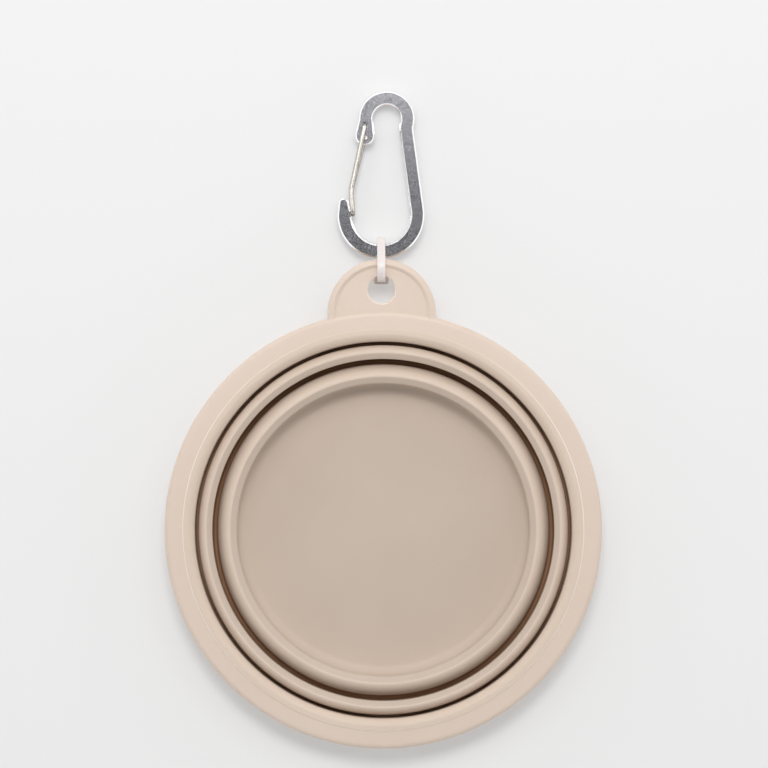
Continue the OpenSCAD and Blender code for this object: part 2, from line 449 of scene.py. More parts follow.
@dataclass
class BevelledBar:
    """A flat bar whose bevel keeps its width round tight corners.

    Attributes:
        outline: Its outline, counter-clockwise.
        rows: The section of its upper half, from the wall to the face, as (inset, height).
        slack: How far a point of an inset line may lie too near to the outline.
    """

    outline: Outline
    rows: Outline
    slack: float = 0.002

    def distance(self, points: np.ndarray) -> np.ndarray:
        """Measures how far points lie from the outline.

        Args:
            points: The points, one in each row.

        Returns:
            Their distances.
        """
        start = np.array(self.outline)
        run = np.roll(start, -1, axis=0) - start
        away = points[:, None, :] - start[None, :, :]
        share = np.clip((away * run).sum(axis=2) / (run * run).sum(axis=1), 0.0, 1.0)
        return np.linalg.norm(away - share[:, :, None] * run, axis=2).min(axis=1)

    def loops(self) -> tuple[list[Point], list[Edge]]:
        """Draws the outline and the line at each inset, without what crosses itself.

        Returns:
            The points and the edges of these lines.
        """
        points: list[Point] = []
        edges: list[Edge] = []
        for depth, _ in self.rows:
            moved = np.array(inset(self.outline, depth))
            kept = moved[self.distance(moved) > depth - self.slack]
            edges += chain(len(kept), first=len(points))
            points += [tuple(p) for p in kept]
        return points, edges

    def mesh(self, name: str) -> Mesh:
        """Builds the bar.

        Args:
            name: Name of the mesh.

        Returns:
            The closed mesh.
        """
        points, edges = self.loops()
        spots = [Vector(p) for p in points]
        flat, _, triangles, _, _, _ = delaunay_2d_cdt(spots, edges, [], 1, 1e-5)
        spots = np.array([tuple(v) for v in flat])
        depths, levels = zip(*self.rows)
        heights = np.interp(self.distance(spots), depths, levels)
        upper = [(x, y, z) for (x, y), z in zip(spots, heights)]
        lower = [(x, y, -z) for x, y, z in upper]
        size, count = len(upper), len(self.outline)
        faces = [tuple(t) for t in triangles]
        faces += [tuple(size + v for v in reversed(t)) for t in triangles]
        walls = [(x, y, z) for z in (-levels[0], levels[0]) for x, y in self.outline]
        faces += [(a, b, b + count, a + count) for a, b in chain(count, first=2 * size)]
        mesh = mesh_of(name, upper + lower + walls, faces)
        clean(mesh, merge=2e-7)
        return mesh


# Node trees


class NodeBench:
    """Adds and links the nodes of one tree."""

    SPACING = 180

    def __init__(self, tree: Tree) -> None:
        """Takes the tree that is built."""
        self.tree = tree

    def add(self, kind: str, inputs: dict | None = None, **settings: object) -> Node:
        """Adds a node.

        Args:
            kind: Type of the node.
            inputs: Values or sockets for its inputs, by name or number.
            settings: Properties of the node.

        Returns:
            The node.
        """
        node = self.tree.nodes.new(kind)
        node.location = (self.SPACING * len(self.tree.nodes), 0)
        for key, value in settings.items():
            setattr(node, key, value)
        for key, value in (inputs or {}).items():
            if isinstance(value, bpy.types.NodeSocket):
                self.tree.links.new(value, node.inputs[key])
            else:
                node.inputs[key].default_value = value
        return node

    def math(self, operation: str, *values: object) -> Socket:
        """Adds a Math node and gives its result."""
        kind = "ShaderNodeMath"
        return self.add(kind, dict(enumerate(values)), operation=operation).outputs[0]

    def vector(self, operation: str, *values: object) -> bpy.types.NodeOutputs:
        """Adds a Vector Math node and gives its outputs."""
        kind = "ShaderNodeVectorMath"
        return self.add(kind, dict(enumerate(values)), operation=operation).outputs

    def span(self, value: Socket, source: Point, target: Point = (0.0, 1.0),
             course: Course = Course.EVEN) -> Socket:
        """Maps one range to another and holds the value inside.

        Args:
            value: The value.
            source: The range of the value.
            target: The range that comes out.
            course: How the value runs from end to end.

        Returns:
            The mapped value.
        """
        return self.add("ShaderNodeMapRange", {
            "Value": value, "From Min": source[0], "From Max": source[1], "To Min": target[0],
            "To Max": target[1]}, interpolation_type=course.value).outputs[0]

    def mixed(self, share: Socket, first: object, second: object) -> Socket:
        """Mixes two colours by the share of the second."""
        inputs = {"Factor": share, 6: first, 7: second}
        return self.add("ShaderNodeMix", inputs, data_type="RGBA").outputs[2]

    def scaled(self, colour: object, factor: Socket) -> Socket:
        """Makes a colour lighter or darker."""
        inputs = {0: colour, 3: factor}
        return self.add("ShaderNodeVectorMath", inputs, operation="SCALE").outputs[0]

    def noise(self, place: Socket, scale: object, detail: float = 2.0) -> Socket:
        """Adds a noise and gives its value."""
        inputs = {"Vector": place, "Scale": scale, "Detail": detail}
        return self.add("ShaderNodeTexNoise", inputs).outputs[0]

    def kept(self, name: str) -> Socket:
        """Reads a value that keep_facing left on the mesh."""
        return self.add("ShaderNodeAttribute", attribute_name=name).outputs["Fac"]


def opaque(colour: Triple) -> tuple[float, float, float, float]:
    """Gives a colour with its alpha."""
    return (*colour, 1.0)


class Workshop:
    """The Geometry Nodes trees that turn, sweep and repeat."""

    TURN_RADIUS = 50.0

    def __init__(self) -> None:
        """Builds the trees once."""
        self.turn = self.turning_tree()
        self.wire = self.wire_tree()
        self.teeth = self.teeth_tree()

    @staticmethod
    def new_tree(name: str, sizes: dict[str, float]) -> tuple[NodeBench, bpy.types.NodeOutputs]:
        """Starts a tree with a geometry input, named sizes and a material.

        Args:
            name: Name of the tree.
            sizes: Default of each size, by name. A whole number makes an integer socket.

        Returns:
            The bench and the sockets of the inputs.
        """
        tree = bpy.data.node_groups.new(name, "GeometryNodeTree")
        face = tree.interface
        face.new_socket("Geometry", in_out="INPUT", socket_type="NodeSocketGeometry")
        for label, default in sizes.items():
            kind = "NodeSocketInt" if isinstance(default, int) else "NodeSocketFloat"
            face.new_socket(label, in_out="INPUT", socket_type=kind).default_value = default
        face.new_socket("Finish", in_out="INPUT", socket_type="NodeSocketMaterial")
        face.new_socket("Geometry", in_out="OUTPUT", socket_type="NodeSocketGeometry")
        bench = NodeBench(tree)
        return bench, bench.add("NodeGroupInput").outputs

    @staticmethod
    def close(bench: NodeBench, finish: Socket, geometry: Socket) -> Tree:
        """Ends a tree in Realize Instances and Set Material.

        Args:
            bench: The bench of the tree.
            finish: The material.
            geometry: What the tree has made.

        Returns:
            The tree.
        """
        real = bench.add("GeometryNodeRealizeInstances", {"Geometry": geometry})
        inputs = {"Geometry": real.outputs[0], "Material": finish}
        named = bench.add("GeometryNodeSetMaterial", inputs)
        bench.add("NodeGroupOutput", {"Geometry": named.outputs[0]})
        return bench.tree

    def turning_tree(self) -> Tree:
        """Builds the tree that turns a section about the bowl's axis.

        Returns:
            The tree.
        """
        bench, given = self.new_tree("turned_ring", {"Turn Radius": 0.05, "Segments": 256})
        back = bench.math("MULTIPLY", given["Turn Radius"], -1.0)
        shift = bench.add("ShaderNodeCombineXYZ", {"X": back})
        placed = bench.add("GeometryNodeTransform", {
            "Geometry": given["Geometry"], "Translation": shift.outputs[0],
            "Scale": (1.0, -1.0, 1.0)})
        section = bench.add("GeometryNodeMeshToCurve", {"Mesh": placed.outputs[0]})
        path = bench.add("GeometryNodeCurvePrimitiveCircle", {
            "Resolution": given["Segments"], "Radius": given["Turn Radius"]})
        ring = bench.add("GeometryNodeCurveToMesh", {
            "Curve": path.outputs[0], "Profile Curve": section.outputs[0]})
        closed = bench.add("GeometryNodeMergeByDistance", {
            "Geometry": ring.outputs[0], "Distance": 1e-7})
        return self.close(bench, given["Finish"], closed.outputs[0])

    def wire_tree(self) -> Tree:
        """Builds the tree that sweeps a round wire along a path.

        Returns:
            The tree.
        """
        bench, given = self.new_tree("drawn_wire", {"Wire Radius": 0.0007, "Sides": 24})
        path = bench.add("GeometryNodeMeshToCurve", {"Mesh": given["Geometry"]})
        section = bench.add("GeometryNodeCurvePrimitiveCircle", {
            "Resolution": given["Sides"], "Radius": given["Wire Radius"]})
        wire = bench.add("GeometryNodeCurveToMesh", {
            "Curve": path.outputs[0], "Profile Curve": section.outputs[0], "Fill Caps": True})
        return self.close(bench, given["Finish"], wire.outputs[0])

    def teeth_tree(self) -> Tree:
        """Builds the tree that sets ratchet teeth along a strap.

        Returns:
            The tree.
        """
        bench, given = self.new_tree("ratchet_teeth", {
            "Pitch": 0.0006, "Tooth Height": 0.0002, "Tooth Width": 0.0014,
            "Tooth Length": 0.0004})
        path = bench.add("GeometryNodeMeshToCurve", {"Mesh": given["Geometry"]})
        rows = bench.add("GeometryNodeCurveToPoints", {
            "Curve": path.outputs[0], "Length": given["Pitch"]}, mode="LENGTH")
        size = bench.add("ShaderNodeCombineXYZ", {
            "X": given["Tooth Height"], "Y": given["Tooth Width"], "Z": given["Tooth Length"]})
        tooth = bench.add("GeometryNodeMeshCube", {"Size": size.outputs[0]})
        facing = bench.add("FunctionNodeAxesToRotation", {
            "Primary Axis": rows.outputs["Tangent"], "Secondary Axis": (1.0, 0.0, 0.0)})
        teeth = bench.add("GeometryNodeInstanceOnPoints", {
            "Points": rows.outputs["Points"], "Instance": tooth.outputs["Mesh"],
            "Rotation": facing.outputs[0]})
        return self.close(bench, given["Finish"], teeth.outputs[0])

    @staticmethod
    def run(name: str, start: Mesh, tree: Tree, values: dict) -> Mesh:
        """Runs a tree on a mesh.

        Args:
            name: Name of the new mesh.
            start: The path or section that goes in.
            tree: The tree.
            values: Values of the tree's inputs, by name.

        Returns:
            The plain mesh that comes out.
        """
        helper = add_object(name + "_start", start)
        modifier = helper.modifiers.new("tree", "NODES")
        modifier.node_group = tree
        for item in tree.interface.items_tree:
            if item.in_out == "INPUT" and item.name in values:
                modifier[item.identifier] = values[item.name]
        return evaluated(helper, name)

    def turned(self, name: str, section: Outline, finish: Material, closed: bool = True,
               segments: int = 256) -> Mesh:
        """Turns a section about the bowl's axis.

        Args:
            name: Name of the mesh.
            section: Points (radius, height).
            finish: Material of the ring.
            closed: Whether the section is a closed line. An open one starts and ends on the axis.
            segments: Steps of the turn.

        Returns:
            The closed mesh.
        """
        points = [(r, z, 0.0) for r, z in section]
        start = mesh_of(name, points, [], chain(len(section), closed))
        ring = self.run(name, start, self.turn, {
            "Turn Radius": self.TURN_RADIUS * MM, "Segments": segments, "Finish": finish})
        clean(ring)
        keep_facing(ring)
        return ring


# Finishes


class FinishKit:
    """Shader node groups that several finishes share."""

    def __init__(self) -> None:
        """Builds the groups once."""
        self.grain = self.grain_group()
        self.drift = self.drift_group()
        self.streaks = self.streak_group()

    @staticmethod
    def new_group(name: str, inputs: dict[str, object], outputs: dict[str, str]
                  ) -> tuple[NodeBench, bpy.types.NodeOutputs]:
        """Starts a group with a place and other inputs.

        Args:
            name: Name of the group.
            inputs: Default of each further input, by name: a number, a vector or a colour.
            outputs: Socket type of each output, by name.

        Returns:
            The bench and the sockets of the inputs.
        """
        tree = bpy.data.node_groups.new(name, "ShaderNodeTree")
        face = tree.interface
        face.new_socket("Vector", in_out="INPUT", socket_type="NodeSocketVector")
        for label, default in inputs.items():
            size = len(default) if isinstance(default, tuple) else 1
            kind = {1: "NodeSocketFloat", 3: "NodeSocketVector", 4: "NodeSocketColor"}[size]
            face.new_socket(label, in_out="INPUT", socket_type=kind).default_value = default
        for label, kind in outputs.items():
            face.new_socket(label, in_out="OUTPUT", socket_type=kind)
        bench = NodeBench(tree)
        return bench, bench.add("NodeGroupInput").outputs

    def grain_group(self) -> Tree:
        """Builds a fine moulded grain with a few larger dents.

        Returns:
            The group.
        """
        bench, given = self.new_group("moulded_grain", {
            "Fine Scale": 6000.0, "Coarse Scale": 500.0, "Coarse Share": 0.4},
            {"Height": "NodeSocketFloat"})
        fine = bench.noise(given["Vector"], given["Fine Scale"])
        coarse = bench.noise(given["Vector"], given["Coarse Scale"], 1.0)
        height = bench.add("ShaderNodeMix", {
            "Factor": given["Coarse Share"], "A": fine, "B": coarse})
        bench.add("NodeGroupOutput", {"Height": height.outputs[0]})
        return bench.tree

    def drift_group(self) -> Tree:
        """Builds a slow drift between two tones, with faint specks.

        Returns:
            The group.
        """
        grey = opaque((0.5, 0.5, 0.5))
        bench, given = self.new_group("tone_drift", {
            "Scale": 40.0, "Tone A": grey, "Tone B": grey, "Speck Scale": 1500.0,
            "Speck Amount": 0.03}, {"Colour": "NodeSocketColor"})
        slow = bench.span(bench.noise(given["Vector"], given["Scale"], 3.0), (0.35, 0.65))
        tones = bench.mixed(slow, given["Tone A"], given["Tone B"])
        specks = bench.noise(given["Vector"], given["Speck Scale"], 1.0)
        swing = bench.math("MULTIPLY", bench.math("SUBTRACT", specks, 0.5), given["Speck Amount"])
        shaded = bench.scaled(tones, bench.math("ADD", swing, 1.0))
        bench.add("NodeGroupOutput", {"Colour": shaded})
        return bench.tree

    def streak_group(self) -> Tree:
        """Builds fine brushed lines and sparse nicks.

        Returns:
            The group.
        """
        bench, given = self.new_group("brushed_lines", {
            "Scale": (900.0, 60.0, 900.0), "Nick Scale": 700.0},
            {"Lines": "NodeSocketFloat", "Nicks": "NodeSocketFloat"})
        stretched = bench.vector("MULTIPLY", given["Vector"], given["Scale"])[0]
        lines = bench.noise(stretched, 1.0, 3.0)
        cells = bench.add("ShaderNodeTexVoronoi", {
            "Vector": given["Vector"], "Scale": given["Nick Scale"]})
        near = bench.span(cells.outputs["Distance"], (0.16, 0.06))
        chosen = bench.span(bench.noise(given["Vector"], 260.0), (0.55, 0.62))
        nicks = bench.math("MULTIPLY", near, chosen)
        bench.add("NodeGroupOutput", {"Lines": lines, "Nicks": nicks})
        return bench.tree


@dataclass(frozen=True)
class Finish:
    """What every finish has: its name, its colour and its gloss.

    Attributes:
        name: Name of the material.
        colour: Linear base colour.
        roughness: Mean roughness.
        roughness_swing: How far the roughness drifts over the surface.
    """

    name: str
    colour: Triple
    roughness: float
    roughness_swing: float

    def start(self) -> tuple[NodeBench, bpy.types.NodeInputs, Socket]:
        """Starts the material.

        Returns:
            The bench, the inputs of the shader and the Object coordinate.
        """
        material = bpy.data.materials.new(self.name)
        material.use_nodes = True
        material.diffuse_color = opaque(self.colour)
        bench = NodeBench(material.node_tree)
        shader = material.node_tree.nodes["Principled BSDF"].inputs
        return bench, shader, bench.add("ShaderNodeTexCoord").outputs["Object"]

    def texture(self, bench: NodeBench, shader: bpy.types.NodeInputs, height: Socket,
                depth: float) -> None:
        """Lets the roughness drift with a relief, and gives the surface that relief.

        Args:
            bench: The bench of the material.
            shader: The inputs of the shader.
            height: The relief, about from 0.3 to 0.7.
            depth: Its depth, in metres.
        """
        low, high = self.roughness - self.roughness_swing, self.roughness + self.roughness_swing
        bench.tree.links.new(bench.span(height, (0.3, 0.7), (low, high)), shader["Roughness"])
        bump = bench.add("ShaderNodeBump", {"Height": height, "Distance": depth, "Strength": 1.0})
        bench.tree.links.new(bump.outputs[0], shader["Normal"])


class BowlPlace:
    """Where on the bowl a point of a material is, as sockets."""

    def __init__(self, bench: NodeBench, place: Socket) -> None:
        """Takes the bench of the material and the Object coordinate."""
        self.bench = bench
        self.place = place

    @cached_property
    def flat(self) -> Socket:
        """The place as seen from above."""
        return self.bench.vector("MULTIPLY", self.place, (1.0, 1.0, 0.0))[0]

    @cached_property
    def radius(self) -> Socket:
        """The distance from the bowl's axis."""
        return self.bench.vector("LENGTH", self.flat)["Value"]

    @cached_property
    def parts(self) -> bpy.types.NodeOutputs:
        """The place along each axis."""
        return self.bench.add("ShaderNodeSeparateXYZ", {"Vector": self.place}).outputs

    def within(self, length: Socket, ends: Point) -> Socket:
        """Gives a mask that runs from 0 to 1 between two lengths in millimetres."""
        return self.bench.span(length, (ends[0] * MM, ends[1] * MM))


@dataclass(frozen=True)
class MouldedFinish(Finish):
    """Moulded silicone, hard plastic or nylon.

    Each pair of numbers below is where a mask is 0 and where it is 1.

    Attributes:
        second: Tone that the colour drifts to.
        grain_scale: Scale of the fine grain.
        grain_depth: Depth of the grain, in metres.
        sheen: Weight of the soft sheen.
        sheen_roughness: Spread of the sheen.
        subsurface: Weight of the light that passes through.
        subsurface_depth: How deep that light goes, in metres.
        inside_tone: Share of the colour that the inside of the bowl keeps, or 1.
        floor_edge: Radius of the darker floor.
        inside_edge: Radius within which faces towards the axis are darkened too, as painted shade.
        inward: How far such a face turns to the axis.
        crease_shade_colour: Painted shade down in the creases between the rings, a dark brown that
            stands in for the shade there, or none.
        outer_crease_shade_colour: Painted shade down in the outermost crease.
        crease_shade_height: Height of the creases.
        crease_shade_edge: Radius of the innermost crease.
        outer_crease_shade_edge: Radius of the outermost crease.
        upward: How far a face in a crease turns up.
        lip_glint_colour: Colour of the painted highlight on the thin edge of the lip, or none.
        lip_glint_start: Radius of that edge.
        lip_glint_side: How far to the side a place on the edge lies, as a share of its radius.
        lip_glint_front: What the side opposite to the tab counts for there.
        mouth_highlight_colour: Colour of the painted highlight on the mouth of the tab's hole, or none.
        mouth: Distance of the hole from the bowl's axis.
        mouth_edge: Radius of its mouth.
    """

    second: Triple = (0.5, 0.5, 0.5)
    grain_scale: float = 6000.0
    grain_depth: float = 0.000004
    sheen: float = 0.0
    sheen_roughness: float = 0.6
    subsurface: float = 0.0
    subsurface_depth: float = 0.0008
    inside_tone: float = 1.0
    floor_edge: Point = (44.2, 43.0)
    inside_edge: Point = (53.5, 52.5)
    inward: Point = (0.2, 0.5)
    crease_shade_colour: Triple | None = None
    outer_crease_shade_colour: Triple = (0.5, 0.31, 0.19)
    crease_shade_height: Point = (6.5, 3.5)
    crease_shade_edge: Point = (45.5, 46.5)
    outer_crease_shade_edge: Point = (50.5, 52.5)
    upward: Point = (0.05, 0.25)
    lip_glint_colour: Triple | None = None
    lip_glint_start: Point = (58.05, 58.2)
    lip_glint_side: Point = (0.3, 0.95)
    lip_glint_front: float = 0.75
    mouth_highlight_colour: Triple | None = None
    mouth: float = 69.8
    mouth_edge: Point = (4.45, 4.25)

    def build(self, kit: FinishKit) -> Material:
        """Builds the material.

        Args:
            kit: The shared node groups.

        Returns:
            The material.
        """
        bench, shader, place = self.start()
        colour = bench.add("ShaderNodeGroup", {
            "Vector": place, "Tone A": opaque(self.colour), "Tone B": opaque(self.second)},
            node_tree=kit.drift).outputs[0]
        where = BowlPlace(bench, place)
        # Painted shade and highlights follow: shade in the creases and on faces towards the axis, a
        # glint on the lip's edge and a pale mouth round the tab's hole. The floor of the bowl is also
        # made darker.
        for wanted, change in (
                (self.crease_shade_colour, self.painted_crease_shade), (self.lip_glint_colour, self.painted_lip_glint),
                (self.mouth_highlight_colour, self.painted_mouth_highlight), (self.inside_tone < 1.0, self.darker_floor_and_painted_slope_shade)):
            colour = change(where, colour) if wanted else colour
        bench.tree.links.new(colour, shader["Base Color"])
        grain = bench.add("ShaderNodeGroup", {
            "Vector": place, "Fine Scale": self.grain_scale}, node_tree=kit.grain)
        self.texture(bench, shader, grain.outputs[0], self.grain_depth)
        shader["Sheen Weight"].default_value = self.sheen
        shader["Sheen Roughness"].default_value = self.sheen_roughness
        shader["Subsurface Weight"].default_value = self.subsurface
        shader["Subsurface Scale"].default_value = self.subsurface_depth
        return bpy.data.materials[self.name]

    def darker_floor_and_painted_slope_shade(self, where: BowlPlace, colour: Socket) -> Socket:
        """Darkens the floor of the bowl, and paints shade on the faces towards its axis.

        Args:
            where: The place on the bowl.
            colour: The colour so far.

        Returns:
            The colour.
        """
        bench = where.bench
        # Painted shade: faces that turn towards the axis are darkened. The floor of the bowl is darker
        # too.
        facing = bench.span(bench.kept("inward"), self.inward)
        walls = bench.math("MULTIPLY", where.within(where.radius, self.inside_edge), facing)
        share = bench.math("MAXIMUM", where.within(where.radius, self.floor_edge), walls)
        return bench.scaled(colour, bench.span(share, (0.0, 1.0), (1.0, self.inside_tone)))

    def painted_crease_shade(self, where: BowlPlace, colour: Socket) -> Socket:
        """Paints shade down in the creases between the rings, where they seldom see the light.

        Args:
            where: The place on the bowl.
            colour: The colour so far.

        Returns:
            The colour.
        """
        bench = where.bench
        # Painted shade: the colour turns dark brown low in the creases, on faces that turn up.
        depth = where.within(where.parts["Z"], self.crease_shade_height)
        beyond = where.within(where.radius, self.crease_shade_edge)
        facing = bench.span(bench.kept("upward"), self.upward)
        share = bench.math("MULTIPLY", bench.math("MULTIPLY", depth, beyond), facing)
        outermost = where.within(where.radius, self.outer_crease_shade_edge)
        crease_shade_tone = bench.mixed(outermost, opaque(self.crease_shade_colour), opaque(self.outer_crease_shade_colour))
        return bench.mixed(share, colour, crease_shade_tone)

    def painted_lip_glint(self, where: BowlPlace, colour: Socket) -> Socket:
        """Paints a highlight on the thin edge where the lip laps on the rim, most at both sides, least
        by the tab.

        Args:
            where: The place on the bowl.
            colour: The colour so far.

        Returns:
            The colour.
        """
        bench = where.bench
        # Painted highlight: a glint of the side lamps on the lip's edge, lighter where the edge faces
        # the sides.
        aside = bench.math("ABSOLUTE", where.parts["X"])
        front = bench.math("MULTIPLY", where.parts["Y"], -self.lip_glint_front)
        share = bench.math("DIVIDE", bench.math("MAXIMUM", aside, front), where.radius)
        lip = where.within(where.radius, self.lip_glint_start)
        near = bench.math("MULTIPLY", lip, bench.span(share, self.lip_glint_side))
        return bench.mixed(near, colour, opaque(self.lip_glint_colour))

    def painted_mouth_highlight(self, where: BowlPlace, colour: Socket) -> Socket:
        """Paints a pale highlight on the bevelled mouth of the tab's hole.

        Args:
            where: The place on the bowl.
            colour: The colour so far.

        Returns:
            The colour.
        """
        bench, hole = where.bench, (0.0, self.mouth * MM, 0.0)
        # Painted highlight: a pale ring round the mouth of the hole.
        near = where.within(bench.vector("DISTANCE", where.flat, hole)["Value"], self.mouth_edge)
        return bench.mixed(near, colour, opaque(self.mouth_highlight_colour))


@dataclass(frozen=True)
class MetalFinish(Finish):
    """Brushed, polished or drawn metal.

    Attributes:
        line_scale: Stretch of the brushed lines along each axis.
        line_depth: Depth of the lines, in metres.
        line_tone: How far the lines swing the colour.
        nick_tone: How much lighter or darker a nick is.
        side_shade_tone: Share of the colour left on the sides of a wire, which are painted darker to
            stand in for their dark reflections, or 1.
        side_shade_turn: How far a face turns up, where its painted side shade starts and ends.
    """

    line_scale: Triple = (900.0, 900.0, 900.0)
    line_depth: float = 0.000002
    line_tone: float = 0.12
    nick_tone: float = 0.2
    side_shade_tone: float = 1.0
    side_shade_turn: Point = (0.45, 0.9)

    def build(self, kit: FinishKit) -> Material:
        """Builds the material.

        Args:
            kit: The shared node groups.

        Returns:
            The material.
        """
        bench, shader, place = self.start()
        lines, nicks = bench.add("ShaderNodeGroup", {
            "Vector": place, "Scale": self.line_scale}, node_tree=kit.streaks).outputs
        lighter = bench.math("MULTIPLY", nicks, self.nick_tone)
        swing = bench.math("MULTIPLY", bench.math("SUBTRACT", lines, 0.5), self.line_tone)
        factor = bench.math("ADD", bench.math("ADD", lighter, swing), 1.0)
        # Painted shade: the sides of the wire are darker, standing in for dark reflections, while the
        # top keeps its colour.
        if self.side_shade_tone < 1.0:
            painted_side_shade = bench.span(bench.kept("upward"), self.side_shade_turn, (self.side_shade_tone, 1.0))
            factor = bench.math("MULTIPLY", factor, painted_side_shade)
        bench.tree.links.new(bench.scaled(self.colour, factor), shader["Base Color"])
        shader["Metallic"].default_value = 1.0
        self.texture(bench, shader, lines, self.line_depth)
        return bpy.data.materials[self.name]


class Palette:
    """The finishes of all pieces."""

    def __init__(self) -> None:
        """Builds the materials."""
        kit = FinishKit()
        # Painted highlight: a pale ring round the mouth of the tab's hole.
        self.rim = MouldedFinish(
            "satin_rim", (0.68, 0.56, 0.47), 0.42, 0.05, second=(0.665, 0.545, 0.453),
            grain_scale=5000.0, grain_depth=0.000003, mouth_highlight_colour=(0.77, 0.67, 0.575)).build(kit)
        # Painted shade in the creases and on faces towards the axis, and a painted highlight on the
        # lip's edge. The floor inside is darker.
        self.silicone = MouldedFinish(
            "soft_silicone", (0.655, 0.535, 0.44), 0.56, 0.05, second=(0.635, 0.515, 0.42),
            grain_scale=7000.0, grain_depth=0.000005, sheen=0.08, inside_tone=0.84,
            crease_shade_colour=(0.34, 0.18, 0.09), lip_glint_colour=(0.80, 0.72, 0.64)).build(kit)
        self.nylon = MouldedFinish(
            "milky_nylon", (0.77, 0.715, 0.695), 0.38, 0.08, second=(0.72, 0.67, 0.65),
            grain_scale=2500.0, grain_depth=0.00001, subsurface=0.25).build(kit)
        self.face = MetalFinish(
            "brushed_alloy", (0.29, 0.29, 0.31), 0.18, 0.04, line_scale=(3600.0, 2200.0, 3600.0),
            line_depth=0.0000012, line_tone=1.0, nick_tone=0.9).build(kit)
        self.bevel = MetalFinish(
            "polished_bevel", (0.93, 0.92, 0.92), 0.16, 0.05, line_scale=(400.0, 400.0, 400.0),
            nick_tone=-0.2).build(kit)
        # Painted shade: the bores are near black, standing in for the shade inside them.
        self.bore = MetalFinish("shaded_bore", (0.045, 0.045, 0.05), 0.5, 0.06).build(kit)
        # Painted shade on the sides of the wire, standing in for their dark reflections.
        self.steel = MetalFinish(
            "drawn_wire", (0.80, 0.75, 0.69), 0.26, 0.04, line_scale=(3000.0, 120.0, 3000.0),
            line_depth=0.000001, nick_tone=-0.3, side_shade_tone=0.42).build(kit)


def finish_piece(name: str, mesh: Mesh, node: str) -> bpy.types.Object:
    """Adds a piece that stands for a CAD node.

    Args:
        name: Name of the piece.
        mesh: Its mesh.
        node: The CAD node.

    Returns:
        The piece.
    """
    piece = add_object(name, mesh)
    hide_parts(node)
    triangles = sum(len(p.vertices) - 2 for p in mesh.polygons)
    LOG.info("%s: %d triangles", name, triangles)
    return piece


# The bowl


